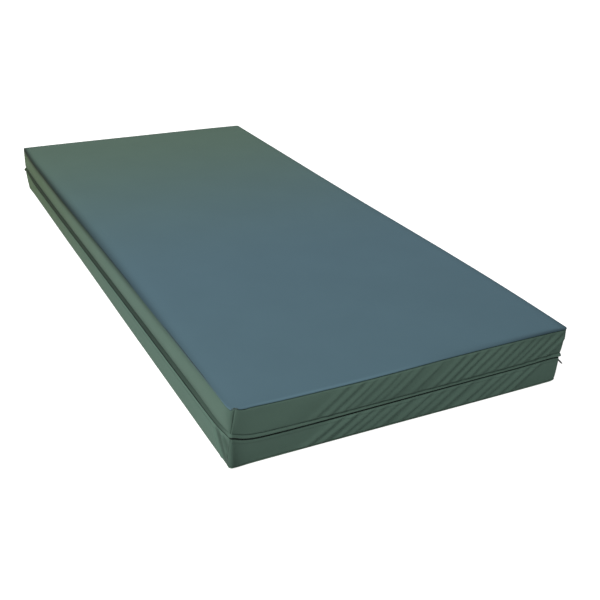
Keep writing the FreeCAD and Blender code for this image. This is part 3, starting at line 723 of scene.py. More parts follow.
def lower_tuck(distance):
    """How far the lower cover's foot sits inside the rim: a hair all round, and most just round
    the front right corner."""
    stops = [
        (0.02, 0.0), (FRONT_RIGHT - 0.002, 0.0002), (FRONT_RIGHT + 0.02, 0.0016),
        (FRONT_RIGHT + 0.06, 0.0036), (FRONT_RIGHT + 0.3, 0.0), (LAP_LENGTH - 0.02, 0.0),
    ]
    return 0.0005 + along_rim(distance, stops, 0.006)


def corner_tuck(distance):
    """The way, along x and y, that the cover's foot is pulled in at two corners, from the right
    at the front right one, and from both sides at the back left one."""
    tucks = ((FRONT_RIGHT, (1, 0), 0.0050), (BACK_LEFT, (-1, 1), 0.0056))
    return sum(-deep * bell(past(distance, at), 0.030)[:, None] * np.array(sign) for at, sign, deep in tucks)


def base_level(plan):
    """The underside's height: a hair above the floor, and lifted at the two front corners."""
    left = np.hypot(plan[:, 0] + half_width, plan[:, 1] + half_length)
    right = np.hypot(plan[:, 0] - half_width, plan[:, 1] + half_length)
    return FLOOR_CLEARANCE + 0.0044 * bell(left, 0.016) + 0.0030 * bell(right, 0.008)


def base_seam_height(distance):
    """The base seam's height round the rim: a slow wander, and a lift at the same corners."""
    wander = 0.0006 * np.sin(past(distance, FRONT_RIGHT) * 9)
    left = 0.0046 * bell(past(distance, FRONT_LEFT), 0.012)
    right = 0.0040 * bell(past(distance, FRONT_RIGHT), 0.006)
    return base_seam + wander + left + right


def foot_lean(distance):
    """How far the lower cover's foot leans out. The front is drawn in at its left end and stands
    out at its right, and the front left corner sticks out as an ear."""
    stops = [
        (0.03, -0.0036), (0.35, -0.0010), (0.60, 0.0008), (FRONT_RIGHT - 0.04, 0.0020),
        (FRONT_RIGHT + 0.1, 0.0), (BACK_LEFT - 0.1, 0.0), (BACK_LEFT + 0.02, 0.0008),
        (BACK_LEFT + 0.1, -0.0022), (BACK_LEFT + 0.8, -0.0012), (LAP_LENGTH - 0.4, 0.0008),
        (LAP_LENGTH - 0.04, 0.0008),
    ]
    return along_rim(distance, stops) + 0.0050 * corner_peak(distance, FRONT_LEFT, 0.009, 0.009)


def base_seam_offset(distance):
    """The base seam's place, outward of the rim: it follows the lower cover."""
    return foot_lean(distance) - lower_tuck(distance) + left_bow(distance) * 0.2


base_cloth = cloth_material("base_cloth", BASE_COLOUR, loop=0.0013)
knit_backing = cloth_material("knit_backing", BACKING_COLOUR, rough=0.75, bump=0.12)
# The base panel's mask paints a thin line of shade along its seam.
base_cloth_panel = panel_cloth(
    "base_cloth_panel", base_seam_offset, base_seam_height, BASE_ROLL, base_level, -1,
    lambda distance, travel: 0.3 * bell(travel, 0.0009), corner_tuck,
)
give_cloth_thickness(base_cloth_panel, base_cloth, knit_backing)
dress_cloth(base_cloth_panel, "cover_base", "base_panel", BASE_FLAT, "foam_base_slab")


# ---------------------------------------------------------------------------------------------
# Lower border: four strips of coated cloth round the lower half, joined at the corners. The
# cover is a tight fit, so the front strip pulls into slanting creases where it was dragged on.

# The borders are the same cover cloth as the top; their greener colour is painted light for how the sides are
# lit.
BORDER_COLOUR = (0.091, 0.152, 0.123, 1)
# The borders' painted tint at the head end.
BORDER_HEAD_COLOUR = (0.075, 0.122, 0.064, 1)
BORDER_STEP = 0.0022
BORDER_ROWS = 32
SIDE_NAMES = ("front", "right", "back", "left")
STRIP_LENGTHS = (0.884, 1.984)
LOWER_STRIP_WIDTH = 0.060
SEAM_GROOVE = 0.0022
UPRIGHT_GROOVE = 0.0011
UPRIGHT_SHADE = 0.10
LOWER_DRAW = -0.0085
EDGE_MARGIN = 0.07
EDGE_SHADE_REACH = 0.013
CREASE_WIDTH = 0.0064
FOLD_SLANT = 0.85
CORNER_FOLDS = ((0.0330, 0.0064, 0.0044, 0.030, 0.036), (-0.0180, 0.0056, 0.0032, 0.046, 0.020))
LOWER_CREASES = (
    (0.173, 0.252, 3, 0.9), (0.286, 0.353, 3, 0.8), (0.405, 0.475, 3, 0.75), (0.523, 0.523, 1, 0.8),
    (0.577, 0.645, 3, 0.8), (0.687, 0.719, 2, 0.75),
)

border_lap = walk_round(half_width, half_length, RIM_RADIUS, BORDER_STEP, 6)


def zip_height(distance):
    """The height of the zip's middle round the rim. It climbs over the front left corner, and
    dips once along the front; on the right, where the slider runs, it is level."""
    stops = [
        (0.060, 0.0648), (0.14, 0.0636), (0.24, 0.0640), (0.40, 0.0655), (0.62, 0.0672), (0.76, 0.0680),
        (FRONT_RIGHT - 0.05, 0.0704), (FRONT_RIGHT - 0.008, 0.0725), (FRONT_RIGHT + 0.03, 0.0640),
        (BACK_RIGHT - 0.02, 0.0640), (BACK_RIGHT + 0.05, 0.0645), (BACK_RIGHT + 0.45, 0.0655),
        (BACK_LEFT - 0.03, 0.0618), (BACK_LEFT + 0.15, 0.0575), (BACK_LEFT + 0.60, 0.0606),
        (BACK_LEFT + 1.00, 0.0628), (BACK_LEFT + 1.24, 0.0635), (BACK_LEFT + 1.50, 0.0636),
        (BACK_LEFT + 1.72, 0.0655), (LAP_LENGTH - 0.04, 0.0670),
    ]
    return along_rim(distance, stops, 0.025) + 0.0136 * corner_peak(distance, FRONT_LEFT, 0.032, 0.017)


def zip_gap(distance):
    """The open height between the flap's edge and the lower border's edge."""
    stops = [
        (0.02, 0.0048), (0.3, 0.0044), (0.8, 0.0032), (FRONT_RIGHT, 0.0050), (FRONT_RIGHT + 0.05, 0.0060),
        (BACK_RIGHT - 0.05, 0.0060), (BACK_RIGHT + 0.1, 0.0045), (BACK_LEFT, 0.0050),
        (BACK_LEFT + 0.3, 0.0046), (LAP_LENGTH - 0.10, 0.0044),
    ]
    return along_rim(distance, stops)


def lower_edge_height(distance):
    """The folded top edge of the lower border, just under the zip."""
    return zip_height(distance) - zip_gap(distance) / 2


def creases(distance, height, runs, seed, depth, slant, middle, end=10.0):
    """Slanting creases pulled across a strip of cloth. Each run of them has its first and last
    place at height 0, a count, and a strength; slant is the way along for one of height.

    A crease stands out as a bell across its line, twice as steep on its lower side. It fades
    towards both ends, bends a little, and differs in place, width, strength and length."""
    draw = np.random.default_rng(seed)
    angle = math.atan(1 / slant)
    total = np.zeros(distance.shape)
    for first, last, count, strength in runs:
        for place in np.linspace(first, last, count):
            width = CREASE_WIDTH * draw.uniform(0.85, 1.2)
            place += draw.normal(0, 0.0016) - 0.8 * width
            bend = draw.uniform(-2.0, 3.0)
            line = (distance - place - height * slant) * math.sin(angle) - bend * (height - middle) ** 2
            along = (height - middle + draw.uniform(-0.006, 0.006)) / draw.uniform(0.036, 0.052)
            wave = bell(line, width * np.where(line > 0, 0.72, 1.4))
            total += strength * draw.uniform(0.8, 1.2) * wave * np.exp(-(along ** 4))
    return depth * total * ramp(distance, end, end - 0.03)


def eased(share):
    """A share from 0 to 1 with both its ends levelled: 3 s^2 - 2 s^3."""
    return share * share * (3 - 2 * share)


def edge_fade(share, margin):
    """0 on both edges of a strip, 1 from a margin inward, eased."""
    return eased(ramp(np.minimum(share, 1 - share), 0, margin))


def corner_groove(distance):
    """The groove of the upright seam at each corner, 1 at its middle."""
    corners = (FRONT_LEFT, FRONT_RIGHT, BACK_RIGHT, BACK_LEFT)
    return sum(bell(past(distance, corner), 0.0017) for corner in corners)


def rim_frames(distance):
    """The rim's points, outward normals and headings at any distances, off the fine lap."""
    lap, edge = border_lap, ring_at(border_lap, 0)

    def read(values):
        """The lap's x and y values at those distances, as rows of x, y and 0."""
        pair = [np.interp(distance, lap["distance"], values[:, k], period=lap["length"]) for k in (0, 1)]
        return np.stack([*pair, np.zeros(len(distance))], 1)

    normal = read(lap["normal"])
    normal /= np.linalg.norm(normal, axis=1)[:, None]
    return read(edge), normal, np.cross((0, 0, 1), normal)


def lower_swell(distance, share):
    """The lower border's place outward of the rim, from its seam (0) to its top edge (1)."""
    belly = along_rim(distance, [
        (0.05, 0.0008), (0.45, 0.0020), (0.85, 0.0008), (BACK_RIGHT - 0.9, 0.0022), (BACK_RIGHT, 0.0006),
        (BACK_RIGHT + 0.45, 0.0024), (BACK_LEFT + 0.05, 0.0008), (BACK_LEFT + 1.0, 0.0022),
        (LAP_LENGTH - 0.12, 0.0016),
    ])
    groove = 0.6 * SEAM_GROOVE * bell(share, 0.035)
    slider_side = (distance > FRONT_RIGHT) & (distance < BACK_RIGHT)
    fold = np.where(slider_side, 0.0, 0.0012) * ramp(share, 0.955, 1.0) ** 2
    lean = foot_lean(distance) * (1 - share) ** 0.8 + left_bow(distance) * (0.2 + 0.8 * share)
    crown = (1 - (2 * share - 1) ** 2) ** 0.8
    slack = 0.0006 * soft_noise(distance, share * 0.06, 0.16, 21) * edge_fade(share, 0.3)
    tuck = lower_tuck(distance) * (1 - 0.45 * share)
    return belly * crown - groove - fold + lean + slack - tuck


def lower_tuck_share(share):
    """How much of the corners' tuck reaches a place between the base seam (0) and the zip (1)."""
    return ramp(share, 0.85, 0) ** 0.8


def corner_folds(distance, height):
    """Two folds on the left side that run down to the front left corner's foot. Each is a bell
    across its slanting line, steeper on its near side, and fades along it."""
    gap = -past(distance, FRONT_LEFT)
    total = np.zeros(distance.shape)
    for start, width, rise, middle, reach in CORNER_FOLDS:
        line = (gap - start - FOLD_SLANT * height) * math.cos(math.atan(FOLD_SLANT))
        side = np.where(line > 0, 1.5, 0.7)
        total += rise * bell(line, width * side) * np.exp(-(((height - middle) / reach) ** 4))
    return total * ramp(gap, 0.002, 0.010)


def corner_shade(distance, height):
    """The shade round the front left corner, and on the left side in the hollow between its
    two folds, where the nearer fold catches the light again."""
    gap = -past(distance, FRONT_LEFT)
    hollow = ramp(gap - FOLD_SLANT * height, 0.029, 0.014) * ramp(height, 0.074, 0.058)
    lit_line = gap - 0.018 - 1.05 * np.maximum(height - 0.04, 0)
    lit = bell(lit_line, 0.009) * ramp(height, 0.026, 0.038)
    folds = np.clip(0.50 * eased(hollow) - 0.26 * lit, 0, 1) * ramp(gap, 0, 0.004)
    return np.maximum(folds, 0.34 * np.exp(-np.abs(gap) / 0.018))


def border_strip(name, side, low, high, swell, extra, rows, seam_shade, slide, tuck):
    """One side's strip between two heights that run round the rim. Rows close up towards both
    edges, and each point stands off the rim by swell(distance, share) + extra(distance, z).
    seam_shade(distance) gives, for the top edge and for the bottom one, the mask's line as its
    reach and strength, and the strength of a broad shade around it. slide(share) is how far the
    front left upright seam has been drawn along the rim, which the cloth beside it follows, and
    tuck(share) how much of the corners' tuck it takes."""
    starts = np.concatenate([[0], np.cumsum(border_lap["counts"])])
    stations = np.arange(starts[side], starts[side + 1] + 1) % len(border_lap["centre"])
    distance = border_lap["distance"][stations]
    even = np.linspace(0, 1, rows)
    share = 0.45 * even + 0.55 * (1 - np.cos(math.pi * even)) / 2
    d, s = np.meshgrid(distance, share)
    place = d + slide(s) * bell(past(d, FRONT_LEFT), 0.030)
    bottom, top = low(place), high(place)
    z = bottom + (top - bottom) * s
    groove = corner_groove(d)
    offset = swell(place, s) + extra(place, z) * edge_fade(s, EDGE_MARGIN) - UPRIGHT_GROOVE * groove
    rim, normal, _ = rim_frames(place.ravel())
    points = rim + offset.ravel()[:, None] * normal
    points[:, :2] += corner_tuck(place.ravel()) * tuck(s).reshape(-1, 1)
    points[:, 2] = z.ravel()
    edge = ring_at(border_lap, 0)[stations]
    strides = np.linalg.norm(np.diff(edge, axis=0), axis=1)
    run = border_lap["distance"][starts[side]] + np.concatenate([[0], np.cumsum(strides)])
    cloth_map = np.stack([np.broadcast_to(run, z.shape), z], -1).reshape(-1, 2)
    # Painted shade: the mask darkens the cloth in the upright seams' grooves, round the front left corner and
    # its folds, and along both edges.
    seam = UPRIGHT_SHADE * groove + corner_shade(place, z)
    for gap, (reach, strength, shade) in zip((top - z, z - bottom), seam_shade(d)):
        line, broad = bell(gap, reach), bell(gap, EDGE_SHADE_REACH)
        seam = np.maximum(seam, np.maximum(strength * line, np.minimum(shade, 0.98) * broad))
    faces = band_faces(rows, len(stations), closed=False)
    return make_piece(name, points, faces, cloth_map, seam.ravel())


def lower_extra(distance, z):
    """The creases and folds of the lower border."""
    back_run = ((BACK_RIGHT + 0.25, BACK_LEFT - 0.15, 14, 0.4),)
    front = creases(distance, z, LOWER_CREASES, 41, 0.0026, 1.5, middle=0.036)
    back = creases(distance, z, back_run, 43, 0.0026, 1.4, middle=0.036)
    return front + back + corner_folds(distance, z)


def lower_shade(distance):
    """Hardly any painted shade at the folded edge and a thin painted dark line along the base
    seam, the same all the way round."""
    return (0.0004, 1.0, 0.0), (0.0006, 0.3, 0.0)


border_cloth = cloth_material("border_cloth", BORDER_COLOUR, BORDER_HEAD_COLOUR)
for side, hand in enumerate(SIDE_NAMES):
    strip = border_strip(
        f"lower_border_cloth_{hand}", side, base_seam_height, lower_edge_height, lower_swell, lower_extra,
        BORDER_ROWS, lower_shade, lambda share: LOWER_DRAW * (1 - share), lower_tuck_share,
    )
    give_cloth_thickness(strip, border_cloth, knit_backing)
    flat = (STRIP_LENGTHS[side % 2], LOWER_STRIP_WIDTH)
    dress_cloth(strip, "cover_base", f"lower_border_{hand}", flat, "foam_base_slab")


# ---------------------------------------------------------------------------------------------
# Upper cover, top panel: the cover's coated stretch cloth over the soft foam, coloured slate
# blue where the borders are greener, painted light for how the top is lit. Its edge rolls
# over the foam and is sewn to the border in a sunk seam.

# The top's bluer colour, against the borders' greener one, is painted light for how the top is lit.
TOP_COLOUR = (0.080, 0.142, 0.177, 1)
# The top's painted tint at the head end.
TOP_HEAD_COLOUR = (0.088, 0.143, 0.113, 1)
TOP_ROLL = 0.0034
ROLL_RISE = 0.0032
UPPER_DRAW = 0.0100
TOP_FLAT = (0.890, 1.990)


def top_seam_height(distance):
    """The seam between the top panel and the upper border: a roll's rise below the sagging
    edge, and puckered up at the front left corner's upright seam."""
    gap = past(distance, FRONT_LEFT) - UPPER_DRAW
    waves = ((0.0, 0.0042, 0.0070), (0.020, -0.0016, 0.009), (-0.014, -0.0006, 0.007))
    pucker = sum(rise * bell(gap - at, width) for at, rise, width in waves)
    stops = [(0.01, 1.0), (BACK_LEFT + 0.4, 1.0), (BACK_LEFT + 0.9, 0.35), (LAP_LENGTH - 0.03, 0.35)]
    return top_height - edge_sag(distance) - ROLL_RISE * along_rim(distance, stops) + pucker


def top_bow(distance):
    """How far the top edge bows out past the rim: the foam pushes the right side out most."""
    stops = [
        (0.01, 0.0012), (0.30, 0.0028), (0.62, 0.0015), (FRONT_RIGHT - 0.01, 0.0050),
        (FRONT_RIGHT + 0.025, 0.0072), (FRONT_RIGHT + 0.18, 0.0118), (FRONT_RIGHT + 0.35, 0.0142),
        (FRONT_RIGHT + 0.53, 0.0138), (FRONT_RIGHT + 0.74, 0.0104), (FRONT_RIGHT + 0.98, 0.0070),
        (FRONT_RIGHT + 1.25, 0.0056), (FRONT_RIGHT + 1.58, 0.0064), (BACK_RIGHT - 0.02, 0.0062),
        (BACK_RIGHT + 0.1, 0.0070), (BACK_RIGHT + 0.5, 0.0055), (BACK_LEFT - 0.06, 0.0015),
        (BACK_LEFT + 1.2, 0.0008), (LAP_LENGTH - 0.03, 0.0010),
    ]
    pinch = 0.0036 * bell(past(distance, FRONT_LEFT), 0.011) + 0.0016 * bell(past(distance, BACK_LEFT), 0.011)
    return along_rim(distance, stops, 0.035) + left_bow(distance) - pinch


def top_level(plan):
    """The lying surface's height: a slow swell and a low crown, less the sag at the edges."""
    x, y = plan[:, 0], plan[:, 1]
    swell = 0.0004 * soft_noise(x, y, 0.45, 5)
    crown = 0.0012 * (1 - (x / half_width) ** 2) * (1 - (y / half_length) ** 2)
    return top_height - 0.0002 + swell + crown - foam_sag(x, y)


def edge_shade(distance):
    """How much painted shade lies beside the top seam: along the left side, where the cloth is
    drawn into the seam, and at the front's right end."""
    stops = [
        (0.02, 0.0), (0.45, 0.0), (0.66, 0.25), (FRONT_RIGHT - 0.03, 0.68), (FRONT_RIGHT + 0.05, 0.2),
        (BACK_RIGHT, 0.1), (BACK_LEFT - 0.05, 0.1), (BACK_LEFT + 0.02, 1.00), (BACK_LEFT + 0.6, 0.92),
        (BACK_LEFT + 1.0, 0.68), (LAP_LENGTH - 0.5, 0.50), (LAP_LENGTH - 0.05, 0.10),
    ]
    return along_rim(distance, stops, 0.02)


def top_shade(distance, travel):
    """The seam's painted dark line with the soft painted shade around it, less a painted
    highlight on the roll along the left part of the front."""
    stops = [(0.03, 0.0), (0.08, 0.22), (0.32, 0.22), (0.46, 0.0), (LAP_LENGTH - 0.1, 0.0)]
    painted_highlight = along_rim(distance, stops) * bell(travel - 0.0075, 0.0040)
    reach = np.where(distance < FRONT_RIGHT, 0.017, 0.019)
    broad = np.minimum(1.1 * edge_shade(distance), 0.97) * bell(travel, reach)
    return np.maximum(bell(travel, 0.0014), broad) - painted_highlight


top_cloth = cloth_material("top_cloth", TOP_COLOUR, TOP_HEAD_COLOUR, clouding=0.12)
top_cloth_panel = panel_cloth(
    "top_cloth_panel", top_bow, top_seam_height, TOP_ROLL, top_level, 1, top_shade
)
give_cloth_thickness(top_cloth_panel, top_cloth, knit_backing)
dress_cloth(top_cloth_panel, "cover_top", "cover_top_panel", TOP_FLAT, "foam_cell_insert")


# ---------------------------------------------------------------------------------------------
# Upper border: four strips like the lower ones, sewn to the top panel above and stitched down
# through flap, hem and zip tape below. The front one is creased on the slant too.

UPPER_CREASES = (
    (0.148, 0.243, 4, 0.65), (0.276, 0.336, 3, 0.5), (0.395, 0.395, 1, 0.6), (0.448, 0.548, 4, 0.85),
    (0.583, 0.707, 5, 0.85), (0.738, 0.772, 2, 1.05),
)
UPPER_FOOT = 0.035
UPPER_STRIP_WIDTH = 0.070


def flap_height(distance):
    """The flap's height below its row of stitches."""
    stops = [
        (0.01, 0.0078), (0.05, 0.0076), (0.2, 0.0070), (0.35, 0.0060), (0.7, 0.0062),
        (FRONT_RIGHT - 0.03, 0.0080), (FRONT_RIGHT + 0.05, 0.0095), (BACK_LEFT - 0.02, 0.0095),
        (BACK_LEFT + 0.10, 0.0125), (LAP_LENGTH - 0.16, 0.0125), (LAP_LENGTH - 0.04, 0.0080),
    ]
    return along_rim(distance, stops, 0.02)


def stitch_height(distance):
    """The row of stitches that holds the flap, and the upper border's lower edge."""
    return zip_height(distance) + zip_gap(distance) / 2 + flap_height(distance)


def stitch_offset(distance):
    """Where that row lies, outward of the rim."""
    stops = [
        (0.02, 0.0006), (0.8, 0.0008), (FRONT_RIGHT + 0.05, 0.0006), (BACK_RIGHT, 0.0006),
        (BACK_LEFT - 0.05, 0.0008), (BACK_LEFT + 0.15, -0.0030), (LAP_LENGTH - 0.20, -0.0026),
        (LAP_LENGTH - 0.02, 0.0004),
    ]
    return along_rim(distance, stops) + left_bow(distance)


def upper_swell(distance, share):
    """The upper border's place outward of the rim, from its stitches (0) to its seam (1)."""
    belly = along_rim(distance, [
        (0.04, 0.0008), (0.40, 0.0022), (0.85, 0.0010), (FRONT_RIGHT + 0.8, 0.0026), (BACK_RIGHT, 0.0008),
        (BACK_RIGHT + 0.45, 0.0026), (BACK_LEFT, 0.0010), (BACK_LEFT + 0.9, 0.0026),
        (LAP_LENGTH - 0.10, 0.0012),
    ])
    line = stitch_offset(distance) * (1 - share) + top_bow(distance) * share
    crown = (1 - (2 * share - 1) ** 2) ** 0.7
    groove = SEAM_GROOVE * bell(1 - share, 0.028) + 0.0014 * bell(share, 0.028)
    slack = 0.0007 * soft_noise(distance, share * 0.07, 0.18, 27) * edge_fade(share, 0.3)
    return line + belly * crown - groove + slack


def upper_extra(distance, z):
    """The creases of the upper border."""
    back_run = ((BACK_RIGHT + 0.1, BACK_LEFT - 0.2, 16, 0.4),)
    height, end = z - UPPER_FOOT, FRONT_RIGHT + 0.02
    front = creases(distance, height, UPPER_CREASES, 51, 0.0028, 1.24, middle=0.074, end=end)
    back = creases(distance, height, back_run, 53, 0.0028, 1.2, middle=0.074)
    return front + back


def upper_shade(distance):
    """The painted shade of the top seam above, and of the stitched line below."""
    stops = [(0.02, 0.0), (BACK_LEFT - 0.02, 0.0), (BACK_LEFT + 0.1, 0.5), (LAP_LENGTH - 0.1, 0.35)]
    spread = np.where(distance < FRONT_RIGHT, 0.42, 1.02)
    return (0.0015, 0.9, spread * edge_shade(distance)), (0.0012, 0.9, along_rim(distance, stops, 0.02))


for side, hand in enumerate(SIDE_NAMES):
    strip = border_strip(
        f"upper_border_cloth_{hand}", side, stitch_height, top_seam_height, upper_swell, upper_extra,
        BORDER_ROWS + 4, upper_shade, lambda share: UPPER_DRAW * share, lambda share: share * 0,
    )
    give_cloth_thickness(strip, border_cloth, knit_backing)
    flat = (STRIP_LENGTHS[side % 2], UPPER_STRIP_WIDTH)
    rail = "foam_side_rail_right" if hand == "right" else "foam_side_rail_left"
    dress_cloth(strip, "cover_top", f"upper_border_{hand}", flat, rail)


# ---------------------------------------------------------------------------------------------
# Zip flap: a doubled strip of the border cloth that hangs over the zip all the way round and
# keeps fluid out. Its top edge is caught by the row of stitches.

FLAP_THICKNESS = 0.0014
FLAP_FLAT = (5.73, 0.0115)


def flap_edge_offset(distance):
    """Where the flap's lower edge hangs, outward of the rim: tucked in along the left side,
    where the border above bulges over it, and behind the slider, and flared at the two tight
    corners."""
    stops = [
        (0.02, 0.0012), (0.7, 0.0014), (FRONT_RIGHT - 0.03, 0.0018), (FRONT_RIGHT, 0.0040),
        (FRONT_RIGHT + 0.010, 0.0010), (FRONT_RIGHT + 0.020, -0.0006), (FRONT_RIGHT + 0.060, -0.0004),
        (FRONT_RIGHT + 0.1, 0.0012), (BACK_RIGHT, 0.0016), (BACK_LEFT - 0.03, 0.0020),
        (BACK_LEFT, 0.0060), (BACK_LEFT + 0.05, 0.0020),
        (BACK_LEFT + 0.16, -0.0006), (LAP_LENGTH - 0.18, -0.0006), (LAP_LENGTH - 0.03, 0.0010),
    ]
    return along_rim(distance, stops, 0.006) + left_bow(distance)


def swept_band(name, lap, section, shade=None, tuck=0.0):
    """A closed strip round the rim. section(distance) gives, for each corner of the section in
    turn, the outward offset and the height, up on the outside and down on the inside. tuck is
    how much of the corners' tuck it takes."""
    distance, edge = lap["distance"], ring_at(lap, 0) + tuck * corner_tuck(lap["distance"])
    corners = section(distance)
    loops = [np.column_stack([edge + offset[:, None] * lap["normal"], z]) for offset, z in corners]
    stations, count = len(distance), len(loops)
    quads = band_faces(count + 1, stations) % (count * stations)
    steps = [np.median(np.hypot(b[0] - a[0], b[1] - a[1])) for a, b in zip(corners[:-1], corners[1:])]
    girth = np.concatenate([[0], np.cumsum(steps)])
    cloth_map = np.stack([np.tile(distance, count), np.repeat(girth, stations)], 1)
    seam = np.tile(shade(distance), count) if shade else None
    return make_piece(name, np.concatenate(loops), quads, cloth_map, seam)


def strap_section(offset, low, high, thickness, belly=0.0, rows=5):
    """A flat strap's section between two (offset, height) edges, its ends rounded: up the
    outside, which bulges by belly, round the top, down the inside and round the bottom."""
    half = thickness / 2
    top_offset, bottom_offset = offset if isinstance(offset, tuple) else (offset, offset)
    corners = []

    def add(share, out, lift):
        """One more corner: a share of the way up the strap, moved outward and lifted."""
        line = bottom_offset + (top_offset - bottom_offset) * share
        corners.append((line + out, low + half + (high - low - thickness) * share + lift))

    for share in np.linspace(0, 1, rows):
        add(share, half + belly * math.sin(math.pi * share), 0.0)
    for a in (0.25, 0.5, 0.75):
        add(1, half * math.cos(math.pi * a), half * math.sin(math.pi * a))
    for share in np.linspace(1, 0, rows):
        add(share, -half, 0.0)
    for a in (1.25, 1.5, 1.75):
        add(0, half * math.cos(math.pi * a), half * math.sin(math.pi * a))
    return corners


def flap_section(distance):
    """The flap hangs from just above its stitches to the zip's open gap."""
    bottom = zip_height(distance) + zip_gap(distance) / 2
    ends = (stitch_offset(distance) - 0.0026, flap_edge_offset(distance))
    return strap_section(ends, bottom, stitch_height(distance) + 0.0012, FLAP_THICKNESS, belly=0.0007, rows=7)


def flap_shade(distance):
    """The left side's flap is drawn in under the border, and painted shade darkens it there."""
    stops = [
        (0.01, 0.1), (BACK_LEFT - 0.02, 0.0), (BACK_LEFT + 0.03, 0.85), (BACK_LEFT + 0.3, 0.90),
        (LAP_LENGTH - 0.5, 0.84), (LAP_LENGTH - 0.05, 0.6),
    ]
    return along_rim(distance, stops, 0.02)


zip_flap_cloth = swept_band("zip_flap_cloth", border_lap, flap_section, flap_shade)
zip_flap_cloth.data.materials.append(border_cloth)
dress_cloth(
    zip_flap_cloth, "cover_top", "zip_flap", FLAP_FLAT, "upper_border_cloth_front"
)


# ---------------------------------------------------------------------------------------------
# Hems and seam allowances: the borders' cut edges are turned in behind the zip, and every seam
# leaves two plies of cloth inside the cover. They follow the seams that they belong to.

ALLOWANCE_COLOUR = (0.060, 0.092, 0.080, 1)
HEM_THICKNESS = 0.0010
ALLOWANCE_THICKNESS = 0.0018
HEM_HEIGHT = 0.0118
ALLOWANCE_HEIGHT = 0.0088
HIDDEN_STEP = 0.006
SEAM_ROUND = 5.70
FOLD_TURN = 0.0012
PLY_SETBACK = 0.0026
PLY_CLEARANCE = 0.0066
PLY_FLAT_WIDTH = 0.0103

hidden_lap = walk_round(half_width, half_length, RIM_RADIUS, HIDDEN_STEP, 5)


def base_ply_section(distance):
    """Two plies that stand up inside the base seam."""
    offset = base_seam_offset(distance) - SEAM_GROOVE - PLY_SETBACK
    low = base_seam_height(distance)
    return strap_section(offset, low, low + ALLOWANCE_HEIGHT, ALLOWANCE_THICKNESS, rows=3)


def top_ply_section(distance):
    """Two plies that hang down inside the top seam."""
    offset = top_bow(distance) - SEAM_GROOVE - PLY_SETBACK
    high = top_seam_height(distance) - 0.0006
    return strap_section(offset, high - ALLOWANCE_HEIGHT, high, ALLOWANCE_THICKNESS, rows=3)


def lower_hem_section(distance):
    """The lower border's edge, folded in and down behind itself."""
    high = lower_edge_height(distance) - 0.0046
    offset = lower_swell(distance, 0.9) - CLOTH_THICKNESS - HEM_THICKNESS / 2 - 0.0014
    return strap_section(offset, high - HEM_HEIGHT, high, HEM_THICKNESS, rows=3)


def upper_hem_section(distance):
    """The upper border's edge, folded in behind the flap."""
    low = stitch_height(distance) - 0.0050
    offset = stitch_offset(distance) - 0.0028
    return strap_section(offset, low, low + HEM_HEIGHT, HEM_THICKNESS, rows=3)


def corner_ply(sign, start, bottom, top, rows=14):
    """The two plies inside one corner's upright seam: a thin fin that points at the middle of
    the mattress. start(share) gives how far outward of the rim its outer edge stands."""
    inward, sideways = -np.array(sign) / math.sqrt(2), np.array([-sign[1], sign[0]]) / math.sqrt(2)
    half, depth = ALLOWANCE_THICKNESS / 2, ALLOWANCE_HEIGHT
    edge = sign * (np.array([half_width, half_length]) - RIM_RADIUS * (1 - math.sqrt(0.5)))
    outline = [
        (0.0, -half), (0.0, half), (depth / 2, half), (depth - half, half), (depth, half * 0.4),
        (depth, -half * 0.4), (depth - half, -half), (depth / 2, -half),
    ]
    points = []
    for share in np.linspace(0, 1, rows):
        corner, z = edge - inward * start(share), bottom + (top - bottom) * share
        points += [(*(corner + inward * u + sideways * v), z) for u, v in outline]
    count, last = len(outline), (rows - 1) * len(outline)
    caps = np.array([(0, 1, 2, 7), (2, 3, 6, 7), (3, 4, 5, 6)])
    return np.array(points), np.concatenate([band_faces(rows, count), caps + last, caps[:, ::-1]])


def corner_plies(name, bottom, top, swell):
    """The four upright seams' plies, joined into one piece."""
    points, quads, count = [], [], 0
    corners = ((FRONT_LEFT, (-1, -1)), (FRONT_RIGHT, (1, -1)), (BACK_RIGHT, (1, 1)), (BACK_LEFT, (-1, 1)))
    for place, sign in corners:
        at = np.array([place])
        tucked = np.abs(corner_tuck(at)).max() * math.sqrt(2) if swell is lower_swell else 0.0

        def start(share):
            """The fin's outer edge: the border's place, less a clearance and the corner's tuck."""
            return swell(at, share)[0] - PLY_CLEARANCE - tucked * lower_tuck_share(share)

        ply, faces = corner_ply(sign, start, bottom(at)[0], top(at)[0])
        points.append(ply)
        quads.append(faces + count)
        count += len(ply)
    points = np.concatenate(points)
    cloth_map = np.stack([points[:, 0] + points[:, 1], points[:, 2]], 1)
    return make_piece(name, points, np.concatenate(quads), cloth_map)


allowance_cloth = cloth_material("allowance_cloth", ALLOWANCE_COLOUR, rough=0.7, bump=0.1, specular=0.05)
for seam, body, section, tuck in (
    ("base", "cover_base", base_ply_section, 1.0), ("top", "cover_top", top_ply_section, 0.0),
):
    plies = swept_band(f"{seam}_seam_plies", hidden_lap, section, tuck=tuck)
    plies.data.materials.append(allowance_cloth)
    flat, neighbour = (SEAM_ROUND, ALLOWANCE_HEIGHT + FOLD_TURN), f"{seam}_cloth_panel"
    dress_cloth(plies, body, f"{seam}_seam_allowance", flat, neighbour)

for half, body, section in (
    ("lower", "cover_base", lower_hem_section), ("upper", "cover_top", upper_hem_section),
):
    hem = swept_band(f"{half}_hem_fold", hidden_lap, section)
    hem.data.materials.append(allowance_cloth)
    flat, neighbour = (SEAM_ROUND, HEM_HEIGHT + FOLD_TURN), f"{half}_border_cloth_front"
    dress_cloth(hem, body, f"{half}_hem", flat, neighbour)

